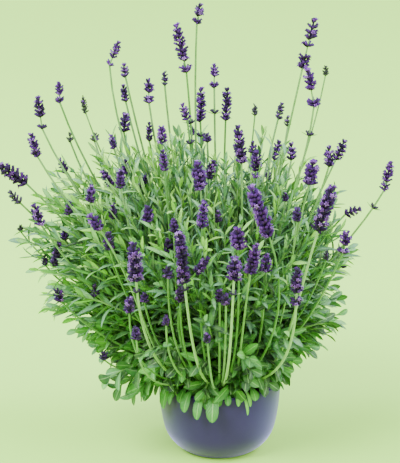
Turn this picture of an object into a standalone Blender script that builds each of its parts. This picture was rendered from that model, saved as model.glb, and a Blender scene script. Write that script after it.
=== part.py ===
"""A lavender plant in flower, in its black grow pot inside a glazed cover pot.

Metres, +Z up. The origin is the middle of the cover pot's base, and the front is towards -Y.
The plant is six leafy clumps with woody feet that stand in plain holes in the soil. Each clump
carries leafy shoots and flower stalks. The open violet flower heads are pieces of their own,
seated on the ends of their stalks, and the small, unopened ones are grown on their stalks.
"""

import math
import random

import bmesh
import bpy
from mathutils import Quaternion, Vector
from mathutils.bvhtree import BVHTree
from numpy import interp

MM = 0.001
GAP = 0.3 * MM  # air between pieces that rest on each other
UP = Vector((0, 0, 1))

# Cover pot
POT_RADIUS = 70 * MM
POT_HEIGHT = 84 * MM
POT_WALL = 4.5 * MM
POT_FLOOR = 5 * MM
POT_FOOT_RADIUS = 43 * MM
POT_SHOULDER_RADIUS = 64 * MM  # where the round bottom turns into the wall
POT_SHOULDER_HEIGHT = 28 * MM
POT_BOTTOM_BULGE = 3.5 * MM
POT_SIDE_BULGE = 1.7 * MM
POT_SEGMENTS = 28

# Grow pot and soil
GROW_POT_WALL = 1.2 * MM
GROW_POT_FOOT_RADIUS = 29 * MM
GROW_POT_HEEL_RADIUS = 38 * MM
GROW_POT_HEEL_HEIGHT = 12 * MM
GROW_POT_RADIUS = 59 * MM
GROW_POT_RIM_RADIUS = 62.5 * MM
GROW_POT_RIM_HEIGHT = 81 * MM
GROW_POT_RIM_BAND = 3.5 * MM
GROW_POT_SEGMENTS = 20
SOIL_EDGE_HEIGHT = 71 * MM
SOIL_CROWN_HEIGHT = 75 * MM
SOIL_SHOULDER_RADIUS = 35 * MM
SOIL_SHOULDER_HEIGHT = 74 * MM
SOIL_HEEL_LIFT = 1 * MM  # above the grow pot's heel
SOIL_GAP = 1.5 * GAP  # between the soil and the grow pot's wall

# Woody feet of the clumps
FOOT_RADIUS = 6 * MM
FOOT_DEPTH = 14 * MM  # below the crown of the soil
FOOT_TOP = 88 * MM
FOOT_TAPER = 0.85
FOOT_RING_RADIUS = 22 * MM
FOOT_SIDES = 6
FOOT_HOLE_GAP = 1.2 * GAP
STEM_SINK = 5 * MM  # how deep stalks and shoots start inside the foot
STEM_ROOT_SHARE = 0.4  # and how far from its middle, as a share of its radius

# The front view that the flower table is read in looks down by this much
VIEW_TILT = math.radians(21)

# Flower stalks
STALK_RADIUS = 1.3 * MM
STALK_SIDES = 3
STALK_FOOT_SWELL = 0.2  # how much thicker a stalk is at its foot
TINY_HEAD = 7  # width in mm under which a head has a thinner stalk
TINY_STALK_SHARE = 0.7
LONG_STALK = 190 * MM  # stalks from this length on bend in one more stretch
STALK_STRETCHES = 3
STALK_RISE = 0.25  # how much a stalk starts upwards
STALK_CHORD_PULL = 2  # and how much it ends along its chord
STALK_HANDLES = (0.34, 0.3)  # lengths of the curve's two handles, as shares of the chord
BOW_DEPTHS = (-30 * MM, -100 * MM)  # a stalk in front bows out low down, and ends along its head
BOW_RISE = 0.3
BOW_HANDLES = (0.34, 0.5)

# Leafy shoots and their leaves
SHOOT_RADIUS = 1.5 * MM
SHOOT_SIDES = 4
SHOOT_TAPER = 0.35
SHOOT_MIDDLE = 0.45  # where along its chord a shoot's curve is lifted
SHOOT_LIFT = 0.3  # by this share of its reach
NODE_HEIGHT = 2.4 * MM  # stretch of a stem that carries a leaf pair
LEAF_THICKNESS = 0.8 * MM
LEAF_STATION = 0.55  # where along a leaf it is widest
LEAF_ROOT_HALF_WIDTH = 1.2 * MM
LEAF_ROOT_OFFSET = 0.8 * MM
LEAF_SIZES = (1.0, 0.8, 0.6)  # tried one after the other where there is little room
START_SHARE = 0.05  # stretch at a stem's start that gives its first heading
NEARBY = 0.01  # and half the stretch that gives a stalk's heading further on

# Florets of the heads
HEAD_SIDES = 5
HEAD_ROOT_RADIUS = 1.5 * MM
HEAD_CORE = 0.32  # the core's radius, as a share of the head's width
HEAD_WAVE = (0.22, 0.88)  # part of a half wave that the core's outline follows from foot to tip
HEAD_FULLNESS = 0.6  # under 1 makes that outline fuller
HEAD_TIP = 2 * MM  # bare point above the last band of florets
HEAD_LEAN_LENGTH = 400  # in mm; a head leans out by its depth times its length over this
NECK_RADII = (1.4 * MM, 1.3 * MM)  # of the bare stalk within a head, at its two ends
BAND_HEIGHT = 3.5 * MM  # height of a band of florets, to which comes a share of the head's width
BAND_GROWTH = 0.33
FLORET_LIFT = 0.35  # how far a floret points up, as a share of its band

# Room kept between stems and leaves
CLEARANCE = 0.5 * MM
PATH_STEPS = 12
ROOT_STEPS = 4  # of them, where the stems of one clump may touch

# Ways that a stem may take round others: a stalk's sideways sway in mm and a shoot's turn in degrees
SWAYS = (0, 5, -5, 10, -10, 15, -15, 20, -20, 25, -25, 30, -30, 35, -35, 40, -40, 45, -45)
NUDGES = (0, 2.5, -2.5, 5, -5, 7.5, -7.5, 10, -10, 12.5, -12.5, 15, -15)

CLUMPS = (
    "clump_back_right",
    "clump_back",
    "clump_back_left",
    "clump_front_left",
    "clump_front",
    "clump_front_right",
)

# Open flower heads, in mm on the front view from the middle of the pot's base:
# across and up of the head's foot, depth behind the middle, across and up of its tip, and width
OPEN_HEADS = (
    (-126, 437, 40, -115, 464, 9),
    (-108, 424, 70, -110, 440, 9),
    (-108, 396, 90, -111, 416, 9),
    (-183, 394, 30, -184, 418, 9),
    (-203, 364, 0, -208, 401, 11),
    (-208, 332, -30, -216, 359, 11),
    (-110, 361, 40, -108, 383, 12),
    (-26, 484, 30, -22, 507, 10),
    (-38, 429, 10, -50, 484, 12),
    (-81, 394, 70, -82, 422, 11),
    (-6, 412, 90, -6, 439, 9),
    (-22, 373, 60, -21, 412, 11),
    (-37, 374, 0, -43, 393, 9),
    (-66, 347, -30, -66, 367, 10),
    (7, 374, 50, 9, 412, 11),
    (25, 324, -60, 20, 367, 12),
    (41, 308, -30, 42, 339, 11),
    (-63, 316, -70, -65, 339, 9),
    (95, 434, 40, 109, 491, 13),
    (108, 390, 0, 100, 433, 13),
    (63, 329, 60, 69, 352, 10),
    (83, 329, 100, 83, 349, 11),
    (134, 329, 70, 145, 352, 11),
    (125, 321, -30, 125, 344, 11),
    (189, 294, 0, 196, 327, 10),
    (-221, 301, -30, -252, 323, 15),
    (-204, 254, -60, -213, 278, 12),
    (-148, 280, -60, -146, 299, 10),
    (-136, 248, -100, -148, 266, 13),
    (-123, 299, 0, -135, 316, 10),
    (-113, 296, -60, -113, 317, 10),
    (-95, 190, -140, -98, 234, 17),
    (-182, 167, -60, -187, 181, 12),
    (-82, 257, -60, -82, 276, 11),
    (-40, 188, -150, -46, 246, 13),
    (-27, 199, -110, -13, 217, 10),
    (-22, 295, -90, -26, 326, 14),
    (-14, 307, -50, -6, 328, 10),
    (-20, 251, -110, -18, 281, 11),
    (21, 226, -130, 20, 251, 16),
    (16, 192, -170, 17, 217, 18),
    (35, 199, -130, 42, 231, 13),
    (56, 241, -120, 35, 298, 16),
    (102, 300, -60, 107, 328, 15),
    (112, 247, -110, 128, 298, 18),
    (144, 266, -30, 162, 273, 10),
    (141, 223, -70, 145, 247, 13),
    (53, 201, -90, 53, 220, 11),
    (87, 164, -130, 88, 205, 12),
    (-103, 155, -130, -103, 172, 11),
)

# Bare stalk within the open heads, by their number: from and to, in mm from the head's foot
BARE_STRETCHES = {
    1: ((6, 9),),
    4: ((7, 9),),
    5: ((7.5, 14),),
    8: ((7, 9),),
    9: ((8.5, 13.5),),
    10: ((9, 12.5),),
    11: ((7, 12.5),),
    17: ((5, 9),),
    19: ((17, 25.5), (31.5, 34.5)),
    20: ((10, 20.5),),
    25: ((8.5, 11),),
    47: ((6, 10),),
    49: ((10, 16),),
}

# Small, unopened and faded heads grown on their stalks, in the same measures
SMALL_HEADS = (
    (-154, 383, 60, -157, 401, 6),
    (-121, 341, 20, -125, 358, 8),
    (-172, 350, 70, -172, 360, 9),
    (-144, 350, 100, -144, 361, 9),
    (-63, 415, 90, -63, 431, 7),
    (-81, 351, 60, -81, 372, 8),
    (41, 380, 120, 41, 393, 6),
    (-32, 357, 50, -32, 368, 9),
    (-14, 349, 40, -14, 360, 9),
    (38, 337, 20, 38, 350, 9),
    (68, 377, 130, 73, 396, 8),
    (79, 368, 120, 79, 380, 8),
    (122, 426, 90, 122, 437, 5),
    (-176, 315, 30, -184, 330, 9),
    (-229, 279, 20, -242, 293, 10),
    (-173, 266, -20, -172, 280, 9),
    (-122, 261, -40, -122, 277, 9),
    (-108, 313, 50, -108, 330, 9),
    (-126, 226, -70, -127, 246, 12),
    (-178, 237, 0, -178, 249, 9),
    (-229, 246, 40, -229, 254, 5),
    (-190, 207, -20, -184, 234, 10),
    (-201, 208, 10, -201, 219, 7),
    (-143, 172, -40, -143, 186, 10),
    (-92, 296, 60, -80, 316, 8),
    (-52, 245, -90, -52, 261, 10),
    (-59, 223, -60, -59, 238, 11),
    (-59, 193, -110, -59, 207, 11),
    (-2, 257, -60, -2, 270, 8),
    (-45, 166, -110, -45, 184, 10),
    (0, 166, -110, 0, 180, 10),
    (88, 258, -80, 88, 274, 10),
    (75, 281, -40, 75, 291, 6),
    (56, 306, 30, 56, 317, 6),
    (122, 214, -60, 122, 224, 5),
    (-95, 123, -130, -96, 138, 10),
    (-133, 99, -50, -134, 109, 9),
    (-61, 139, -120, -61, 150, 8),
    (-86, 166, -80, -86, 177, 9),
    (-14, 120, -150, -15, 131, 8),
    (7, 163, -130, 7, 175, 10),
    (-120, 235, 110, -126, 256, 11),
    (-75, 270, 120, -80, 294, 12),
    (-30, 285, 150, -33, 311, 12),
    (20, 290, 130, 21, 312, 11),
    (65, 275, 150, 69, 300, 13),
    (105, 250, 110, 111, 270, 11),
    (-150, 190, 90, -160, 208, 11),
    (140, 205, 90, 149, 226, 12),
    (-60, 215, 165, -65, 238, 12),
    (0, 225, 180, 0, 250, 13),
    (60, 210, 175, 65, 232, 12),
    (110, 190, 140, 118, 210, 11),
    (-105, 180, 140, -113, 198, 11),
)

# Stalks with a leaf pair, by their number in the two tables: how far along the pair stands,
# and its length and width in mm
LEAFY_STALKS = {
    5: (0.55, 24, 6),
    15: (0.78, 30, 7),
    25: (0.62, 34, 9),
    32: (0.45, 24, 7),
    65: (0.74, 30, 8),
    71: (0.6, 24, 6),
}
PAIR_ROOM = 0.1  # share of the stalk that a leaf pair keeps free of other bends

# Leafy shoots, spread over the dome of foliage by the golden angle
SHOOT_COUNT = 27
SHOOT_SEED = 7
SHOOT_SPREAD = (0.88, 1.06)  # shortest and longest shoot, as shares of the reach below
GOLDEN_ANGLE = math.radians(137.508)
SHOOT_TILTS = (math.radians(3), math.radians(82))  # from the top of the dome to its lowest shoots
# By the tilt from upright in degrees, how far shoots reach at the plant's left and at its right, in mm
SHOOT_REACHES = (
    (0, 285, 285),
    (20, 292, 282),
    (32, 290, 252),
    (43, 280, 215),
    (54, 258, 192),
    (66, 200, 150),
    (75, 150, 105),
    (88, 105, 60),
)
FRONT_LOSS = 0.38  # how much shorter shoots are where they lean out to the front
LEAF_LENGTHS = (40 * MM, 36 * MM)
LEAF_WIDTHS = (7.5 * MM, 10.5 * MM)
LEAF_NODES = (0.48, 0.72, 0.94)  # where the leaf pairs stand along an upright shoot
LOW_LEAF_NODES = (0.34, 0.64, 0.93)  # and along one that leans out
LEANING_TILT = math.radians(40)
LEAF_LEAN = 0.8  # how far a leaf leans out from its stem
LEAF_DROOP = 0.18
AXIL_SHARE = 0.68  # size of the pair of axil leaves that stands across each main pair

# Short shoots whose broad leaves hang over the rim: direction in degrees from +X, and reach in mm
RIM_SHOOTS = (
    (-161, 138),
    (-145, 76),
    (-128, 74),
    (-111, 74),
    (-95, 75),
    (-78, 74),
    (-58, 74),
    (-35, 75),
    (20, 75),
    (100, 75),
)
RIM_SHOOT_TILT = math.radians(82)
RIM_LEAF = (34 * MM, 13 * MM)
RIM_LEAF_NODES = (0.9,)
LONG_RIM_SHOOT = 100  # reach in mm past which a rim shoot has these leaf pairs instead
LONG_RIM_LEAF_NODES = (0.4, 0.68, 0.92)
RIM_LEAF_DROOP = 0.35
STALK_LEAF_DROOP = 0.05


def clear_scene():
    for item in list(bpy.data.objects):
        bpy.data.objects.remove(item, do_unlink=True)


def add_material(item, colour, roughness):
    material = bpy.data.materials.new(item.name)
    material.use_nodes = True
    shader = material.node_tree.nodes["Principled BSDF"]
    shader.inputs["Base Color"].default_value = (*colour, 1)
    shader.inputs["Roughness"].default_value = roughness
    item.data.materials.clear()
    item.data.materials.append(material)


def add_object(name, bm):
    bmesh.ops.recalc_face_normals(bm, faces=bm.faces)
    mesh = bpy.data.meshes.new(name)
    bm.to_mesh(mesh)
    bm.free()
    item = bpy.data.objects.new(name, mesh)
    bpy.context.scene.collection.objects.link(item)
    return item


def arc(start, end, bulge, steps):
    """Points of a circular arc after its start, bulging to the right of the way from start to end."""
    start = Vector(start)
    end = Vector(end)
    chord = end - start
    right = Vector((chord.y, -chord.x)).normalized()
    radius = (chord.length_squared / 4 + bulge * bulge) / (2 * bulge)
    centre = (start + end) / 2 + right * (bulge - radius)
    spread = math.asin(chord.length / 2 / radius)
    ahead = chord.normalized()
    points = []
    for step in range(1, steps + 1):
        angle = spread * (2 * step / steps - 1)
        point = centre + (right * math.cos(angle) + ahead * math.sin(angle)) * radius
        points.append(tuple(point))
    return points


def turned(profile, segments):
    """A solid of revolution round Z. The profile's points are (radius, height), from axis to axis."""
    bm = bmesh.new()
    corners = [bm.verts.new((radius, 0, height)) for radius, height in profile]
    edges = [bm.edges.new(pair) for pair in zip(corners, corners[1:])]
    bmesh.ops.spin(
        bm, geom=corners + edges, cent=(0, 0, 0), axis=UP, angle=math.tau, steps=segments, use_merge=True
    )
    bmesh.ops.remove_doubles(bm, verts=bm.verts, dist=0.01 * MM)
    return bm


def build_pot():
    shoulder = (POT_SHOULDER_RADIUS, POT_SHOULDER_HEIGHT)
    lip = (POT_RADIUS, POT_HEIGHT - POT_WALL / 2)
    inner_lip = (POT_RADIUS - POT_WALL, POT_HEIGHT - POT_WALL / 2)
    inner_shoulder = (POT_SHOULDER_RADIUS - POT_WALL, POT_SHOULDER_HEIGHT)
    inner_foot = (POT_FOOT_RADIUS - POT_WALL / 2, POT_FLOOR)
    profile = [(0, 0), (POT_FOOT_RADIUS, 0)]
    profile += arc(profile[-1], shoulder, POT_BOTTOM_BULGE, 3)
    profile += arc(shoulder, lip, POT_SIDE_BULGE, 2)
    profile += arc(lip, inner_lip, POT_WALL / 2, 4)
    profile += arc(inner_lip, inner_shoulder, -POT_SIDE_BULGE, 1)
    profile += arc(inner_shoulder, inner_foot, -POT_BOTTOM_BULGE, 2)
    profile.append((0, POT_FLOOR))
    pot = add_object("pot", turned(profile, POT_SEGMENTS))
    pot.data.shade_smooth()
    pot.data.set_sharp_from_angle(angle=math.radians(40))
    add_material(pot, (0.105, 0.105, 0.16), 0.25)
    return pot


def grow_pot_wall(height, inset):
    """The grow pot's outer radius at a height, less an inset."""
    rise = (height - GROW_POT_HEEL_HEIGHT) / (GROW_POT_RIM_HEIGHT - GROW_POT_HEEL_HEIGHT)
    return GROW_POT_HEEL_RADIUS + (GROW_POT_RADIUS - GROW_POT_HEEL_RADIUS) * rise - inset


def build_grow_pot():
    floor = POT_FLOOR + GAP
    heel = GROW_POT_HEEL_HEIGHT
    rim_drop = GROW_POT_RIM_HEIGHT - GROW_POT_RIM_BAND
    profile = [
        (0, floor),
        (GROW_POT_FOOT_RADIUS, floor),
        (grow_pot_wall(heel, 0), heel),
        (grow_pot_wall(rim_drop, 0), rim_drop),
        (GROW_POT_RIM_RADIUS, rim_drop),
        (GROW_POT_RIM_RADIUS, GROW_POT_RIM_HEIGHT),
        (grow_pot_wall(GROW_POT_RIM_HEIGHT, GROW_POT_WALL), GROW_POT_RIM_HEIGHT),
        (grow_pot_wall(heel, GROW_POT_WALL), heel + GROW_POT_WALL / 2),
        (GROW_POT_FOOT_RADIUS - GROW_POT_WALL / 2, floor + GROW_POT_WALL),
        (0, floor + GROW_POT_WALL),
    ]
    grow_pot = add_object("grow_pot", turned(profile, GROW_POT_SEGMENTS))
    add_material(grow_pot, (0.012, 0.012, 0.013), 0.55)
    return grow_pot


def foot_place(clump):
    """Where a clump's foot stands in the soil."""
    turn = math.tau * (clump + 0.5) / len(CLUMPS)
    return Vector((math.cos(turn), math.sin(turn), 0)) * FOOT_RING_RADIUS


def add_prism(bm, place, radius, low, high):
    """An upright prism."""
    made = bmesh.ops.create_cone(
        bm, cap_ends=True, segments=FOOT_SIDES, radius1=radius, radius2=radius, depth=high - low
    )
    bmesh.ops.translate(bm, verts=made["verts"], vec=place + UP * (low + high) / 2)


def build_soil():
    floor = POT_FLOOR + GROW_POT_WALL + 2 * GAP
    heel = GROW_POT_HEEL_HEIGHT + SOIL_HEEL_LIFT
    inset = GROW_POT_WALL + SOIL_GAP
    profile = [
        (0, floor),
        (GROW_POT_FOOT_RADIUS - GROW_POT_WALL, floor),
        (grow_pot_wall(heel, inset), heel),
        (grow_pot_wall(SOIL_EDGE_HEIGHT, inset), SOIL_EDGE_HEIGHT),
        (SOIL_SHOULDER_RADIUS, SOIL_SHOULDER_HEIGHT),
        (0, SOIL_CROWN_HEIGHT),
    ]
    soil = add_object("soil", turned(profile, GROW_POT_SEGMENTS))
    bm = bmesh.new()
    for clump in range(len(CLUMPS)):
        bottom = SOIL_CROWN_HEIGHT - FOOT_DEPTH - GAP
        add_prism(bm, foot_place(clump), FOOT_RADIUS + FOOT_HOLE_GAP, bottom, FOOT_TOP)
    holes = add_object("soil_holes", bm)
    holes.hide_render = True
    holes.display_type = "WIRE"
    cut = soil.modifiers.new("Stem holes", "BOOLEAN")
    cut.operation = "DIFFERENCE"
    cut.solver = "EXACT"
    cut.object = holes
    add_material(soil, (0.03, 0.018, 0.01), 0.95)
    return soil


class Body:
    """The room that one stem, leaf, head or pot takes, under its node's name and its piece's number."""

    def __init__(self, node, piece, points, faces):
        self.node = node
        self.piece = piece
        self.tree = BVHTree.FromPolygons(points, faces)
        self.low = [min(point[axis] for point in points) for axis in range(3)]
        self.high = [max(point[axis] for point in points) for axis in range(3)]

    def crosses(self, other):
        for axis in range(3):
            if self.low[axis] > other.high[axis] or self.high[axis] < other.low[axis]:
                return False
        return bool(self.tree.overlap(other.tree))


class Space:
    """All the room already taken."""

    def __init__(self):
        self.taken = []

    def take(self, body):
        self.taken.append(body)

    def take_object(self, item):
        depsgraph = bpy.context.evaluated_depsgraph_get()
        mesh = item.evaluated_get(depsgraph).to_mesh()
        points = [vert.co.copy() for vert in mesh.vertices]
        faces = [tuple(face.vertices) for face in mesh.polygons]
        self.take(Body(item.name, 0, points, faces))

    def free_of_others(self, body, carried=None):
        """Whether the body crosses no node but its own and the one it carries."""
        others = (other for other in self.taken if other.node not in (body.node, carried))
        return not any(body.crosses(other) for other in others)

    def free_of_own(self, body):
        """Whether the body crosses no other piece of its own node."""
        own = (other for other in self.taken if other.node == body.node and other.piece != body.piece)
        return not any(body.crosses(other) for other in own)


def lofted_body(node, piece, rings, tip=None):
    """The room of rings of equally many points, joined one to the next."""
    count = len(rings[0])
    points = [point for ring in rings for point in ring]
    faces = []
    for ring in range(len(rings) - 1):
        for corner in range(count):
            after = (corner + 1) % count
            low = ring * count
            faces.append((low + corner, low + after, low + count + after, low + count + corner))
    if tip is not None:
        points.append(tip)
        last = (len(rings) - 1) * count
        for corner in range(count):
            faces.append((last + corner, last + (corner + 1) % count, len(points) - 1))
    return Body(node, piece, points, faces)


def stem_body(node, piece, path, radius):
    """The room of a round stem along a path, with its clearance."""
    rings = []
    side = Vector((1, 0.02, 0.03))  # a direction that no stem follows
    for place in range(len(path)):
        ahead = path[min(place + 1, len(path) - 1)] - path[max(place - 1, 0)]
        first = ahead.cross(side).normalized()
        second = ahead.cross(first).normalized()
        ring = []
        for corner in range(SHOOT_SIDES):
            angle = math.tau * corner / SHOOT_SIDES
            out = first * math.cos(angle) + second * math.sin(angle)
            ring.append(path[place] + out * (radius + CLEARANCE))
        rings.append(ring)
    return lofted_body(node, piece, rings)


def bezier(points, share):
    """A point of the Bezier curve through the first and last of the given points."""
    while len(points) > 1:
        points = [first.lerp(second, share) for first, second in zip(points, points[1:])]
    return points[0]


def extruded(bm, face):
    """Extrudes one face and returns the new one."""
    made = bmesh.ops.extrude_face_region(bm, geom=[face, *face.edges])
    return next(item for item in made["geom"] if isinstance(item, bmesh.types.BMFace))


class Stem:
    """A closed stem that is extruded from place to place, with leaves and florets drawn from its sides."""

    def __init__(self, start, heading, radius, sides):
        self.bm = bmesh.new()
        made = bmesh.ops.create_circle(self.bm, cap_ends=True, segments=sides, radius=radius)
        self.turn = UP.rotation_difference(heading)
        for vert in made["verts"]:
            vert.co = start + self.turn @ vert.co
        self.cap = next(iter(self.bm.faces))
        self.place = start.copy()
        self.heading = heading.normalized()
        self.radius = radius

    def extend(self, place, radius, heading=None, twist=0.0):
        """Extrudes the end to a new place and radius, and returns the faces of the new stretch."""
        heading = (heading or place - self.place).normalized()
        turn = Quaternion(heading, twist) @ self.heading.rotation_difference(heading)
        self.cap = extruded(self.bm, self.cap)
        for vert in self.cap.verts:
            vert.co = place + turn @ (vert.co - self.place) * (radius / self.radius)
        self.place = place.copy()
        self.heading = heading
        self.radius = radius
        return [face for edge in self.cap.edges for face in edge.link_faces if face is not self.cap]

    def close(self, tip):
        """Draws the end to a point."""
        self.draw_point(self.cap, tip)

    def draw_point(self, face, tip):
        made = bmesh.ops.poke(self.bm, faces=[face])
        made["verts"][0].co = tip


def leaf_frames(root, along, outward, length, width, droop):
    """Centre, half width and upper side of a leaf at its stations, and its tip.

    along is the stem's heading and outward the way out of the stem's side.
    """
    side = along.cross(outward).normalized()
    frames = []
    lean = (along + outward * LEAF_LEAN).normalized()
    for share, fullness in ((LEAF_STATION, 1.0), (1.0, 0.0)):
        centre = root + lean * length * share + (outward - UP) * droop * length * share * share
        frames.append((centre, width / 2 * fullness))
    upper = side.cross(frames[0][0] - root).normalized()
    if upper.dot(along) < 0:
        upper = -upper
    return side, upper, frames


def leaf_body(node, piece, root, side, upper, frames):
    """The room of a leaf, with its clearance."""
    rings = []
    for centre, half_width in [(root, LEAF_ROOT_HALF_WIDTH), frames[0]]:
        across = side * (half_width + CLEARANCE)
        above = upper * (LEAF_THICKNESS / 2 + CLEARANCE)
        corners = (across + above, above - across, -across - above, across - above)
        rings.append([centre + corner for corner in corners])
    return lofted_body(node, piece, rings, frames[-1][0])


def grow_leaf(stem, face, owner, space, length, width, droop):
    """Draws a leaf out of one face of a stem, smaller where it has little room, or not at all.

    owner is the stem's node and piece number.
    """
    along = stem.heading
    root = face.calc_center_median()
    outward = root - stem.place
    outward = (outward - along * outward.dot(along)).normalized()
    for share in LEAF_SIZES:
        side, upper, frames = leaf_frames(root, along, outward, length * share, width, droop)
        body = leaf_body(*owner, root + outward * LEAF_ROOT_OFFSET, side, upper, frames)
        if space.free_of_others(body) and space.free_of_own(body):
            break
    else:
        return
    space.take(body)
    blade = extruded(stem.bm, face)
    centre, half_width = frames[0]
    for vert in blade.verts:
        across = math.copysign(half_width, (vert.co - root).dot(side))
        above = math.copysign(LEAF_THICKNESS / 2, (vert.co - root).dot(upper))
        vert.co = centre + side * across + upper * above
    stem.draw_point(blade, frames[-1][0])


def view_point(across, up, depth):
    """The place of a point measured on the front view, with its depth."""
    height = (up * MM - depth * math.sin(VIEW_TILT)) / math.cos(VIEW_TILT)
    return Vector((across * MM, depth, height))


def head_ends(row):
    """Foot and tip of a flower head in the tables. A head leans further out than its foot stands."""
    across, up, depth, tip_across, tip_up, _ = row
    length = math.hypot(tip_across - across, tip_up - up)
    foot = view_point(across, up, depth * MM)
    tip = view_point(tip_across, tip_up, depth * (1 + length / HEAD_LEAN_LENGTH) * MM)
    return foot, tip


def head_rings(length, width, bare):
    """Distance and core radius of each ring of a head, and whether florets fill the band below it.

    bare lists the ends of the head's bare stretches.
    """
    core = width * HEAD_CORE
    band_height = BAND_HEIGHT + width * BAND_GROWTH
    rings = []
    start = 0.0
    for neck_start, neck_end in bare:
        whorls = max(1, round((neck_start - start) / band_height))
        for whorl in range(1, whorls + 1):
            rings.append((start + (neck_start - start) * whorl / (whorls + 1), core, True))
        rings.append((neck_start, NECK_RADII[0], whorls > 1))
        rings.append((neck_end, NECK_RADII[1], False))
        start = neck_end
    bands = max(1, round((length - start) / band_height))
    low, high = HEAD_WAVE
    for band in range(1, bands + 1):
        share = band / bands
        fullness = math.sin(math.pi * (low + (high - low) * share)) ** HEAD_FULLNESS
        rings.append((start + (length - start - HEAD_TIP) * share, core * fullness, True))
    return rings


def raise_florets(stem, faces, reach, lift):
    """Draws each face of a band out to the point of a floret."""
    for face in faces:
        middle = face.calc_center_median()
        outward = middle - stem.place
        outward = (outward - stem.heading * outward.dot(stem.heading)).normalized()
        on_axis = middle - outward * (middle - stem.place).dot(outward)
        stem.draw_point(face, on_axis + outward * reach + stem.heading * lift)


def grow_head(stem, foot, tip, width, bare=()):
    """Continues a stem as a flower head. bare lists the ends of its bare stretches."""
    axis = (tip - foot).normalized()
    length = (tip - foot).length
    sides = len(stem.cap.verts)
    for distance, radius, florets in head_rings(length, width, bare):
        band = distance - (stem.place - foot).dot(axis)
        faces = stem.extend(foot + axis * distance, radius, axis, math.pi / sides)
        if florets:
            raise_florets(stem, faces, width / 2, band * FLORET_LIFT)
    stem.close(tip)


def head_name(number):
    return f"flower_head_{number:02d}"


def build_open_head(number, row, space):
    foot, tip = head_ends(row)
    width = row[5] * MM
    axis = (tip - foot).normalized()
    stem = Stem(foot, axis, HEAD_ROOT_RADIUS, HEAD_SIDES)
    bare = [(low * MM, high * MM) for low, high in BARE_STRETCHES.get(number, ())]
    grow_head(stem, foot, tip, width, bare)
    head = add_object(head_name(number), stem.bm)
    add_material(head, (0.10, 0.03, 0.22), 0.7)
    points = [vert.co.copy() for vert in head.data.vertices]
    faces = [tuple(face.vertices) for face in head.data.polygons]
    body = Body(head.name, 0, points, faces)
    if not space.free_of_others(body):
        print(head.name, "crosses another node")
    space.take(body)
    return head


def clump_at(turn):
    """The clump in whose sector a direction lies."""
    return int(turn % math.tau / math.tau * len(CLUMPS))


def stem_root(clump, end):
    """Where a stalk or shoot starts inside its clump's foot."""
    root = foot_place(clump)
    outward = Vector((end.x, end.y, 0)) - root
    return root + outward.normalized() * FOOT_RADIUS * STEM_ROOT_SHARE + UP * (FOOT_TOP - STEM_SINK)


def stalk_curve(clump, end, arrival, sway):
    """Control points of a stalk from the clump's foot to a head."""
    root = stem_root(clump, end)
    chord = end - root
    way = chord.normalized()
    side = chord.cross(UP).normalized() * sway * MM
    back, front = BOW_DEPTHS
    bow = min(1, max(0, (back - end.y) / (back - front)))
    straight_start = (way + UP * STALK_RISE).normalized()
    bowed_start = (Vector((way.x, way.y, 0)).normalized() + UP * BOW_RISE).normalized()
    start = straight_start.lerp(bowed_start, bow).normalized()
    arrive = (arrival + way * STALK_CHORD_PULL * (1 - bow)).normalized()
    first_reach, last_reach = Vector(STALK_HANDLES).lerp(Vector(BOW_HANDLES), bow)
    first = root + start * chord.length * first_reach + side
    second = end - arrive * chord.length * last_reach + side
    return [root, first, second, end]


def free_stem(clump, piece, curves, radius, space, head=None):
    """The first curve whose stem crosses no other node nor, if one can be found, its own clump's stems.

    head names the node that the stem carries, if it does.
    """
    node = CLUMPS[clump]
    second_best = None
    for curve in curves:
        path = [bezier(curve, step / PATH_STEPS) for step in range(PATH_STEPS + 1)]
        body = stem_body(node, piece, path, radius)
        if not space.free_of_others(body, head):
            continue
        if space.free_of_own(stem_body(node, piece, path[ROOT_STEPS:], radius)):
            space.take(body)
            return curve
        second_best = second_best or (curve, body)
    if second_best is None:
        return None
    space.take(second_best[1])
    return second_best[0]


def build_stalk(clump, piece, row, space, head):
    """A flower stalk as one closed mesh. It carries the named head, or else its own small one."""
    foot, tip = head_ends(row)
    axis = (tip - foot).normalized()
    radius = STALK_RADIUS * (TINY_STALK_SHARE if row[5] < TINY_HEAD else 1)
    end = foot - axis * GAP if head else foot
    curves = [stalk_curve(clump, end, axis, sway) for sway in SWAYS]
    curve = free_stem(clump, piece, curves, radius, space, head)
    if curve is None:
        print("no way for the stalk of", row)
        return None
    reach = (end - curve[0]).length
    stretches = STALK_STRETCHES if reach < LONG_STALK else STALK_STRETCHES + 1
    shares = [step / stretches for step in range(1, stretches + 1)]
    pair, length, width = LEAFY_STALKS.get(piece, (None, 0, 0))
    if pair:
        pair_top = pair + NODE_HEIGHT / reach
        shares = [share for share in shares if abs(share - pair) > PAIR_ROOM]
        shares = sorted(shares + [pair, pair_top])
    start = bezier(curve, START_SHARE) - curve[0]
    stem = Stem(curve[0], start, radius * (1 + STALK_FOOT_SWELL), STALK_SIDES)
    for share in shares:
        heading = axis if share == 1 else bezier(curve, share + NEARBY) - bezier(curve, share - NEARBY)
        faces = stem.extend(bezier(curve, share), radius * (1 + STALK_FOOT_SWELL * (1 - share)), heading)
        if pair and share == pair_top:
            owner = (CLUMPS[clump], piece)
            for face in faces[:2]:
                grow_leaf(stem, face, owner, space, length * MM, width * MM, STALK_LEAF_DROOP)
    if not head:
        grow_head(stem, foot, tip, row[5] * MM)
    return add_object("stalk", stem.bm)


def shoot_curve(clump, turn, tilt, reach):
    """Control points of a leafy shoot."""
    outward = Vector((math.cos(turn), math.sin(turn), 0))
    end = (outward * math.sin(tilt) + UP * math.cos(tilt)) * reach + UP * FOOT_TOP
    root = stem_root(clump, end)
    middle = root.lerp(end, SHOOT_MIDDLE) + UP * reach * SHOOT_LIFT * math.sin(tilt)
    return [root, middle, end]


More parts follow.
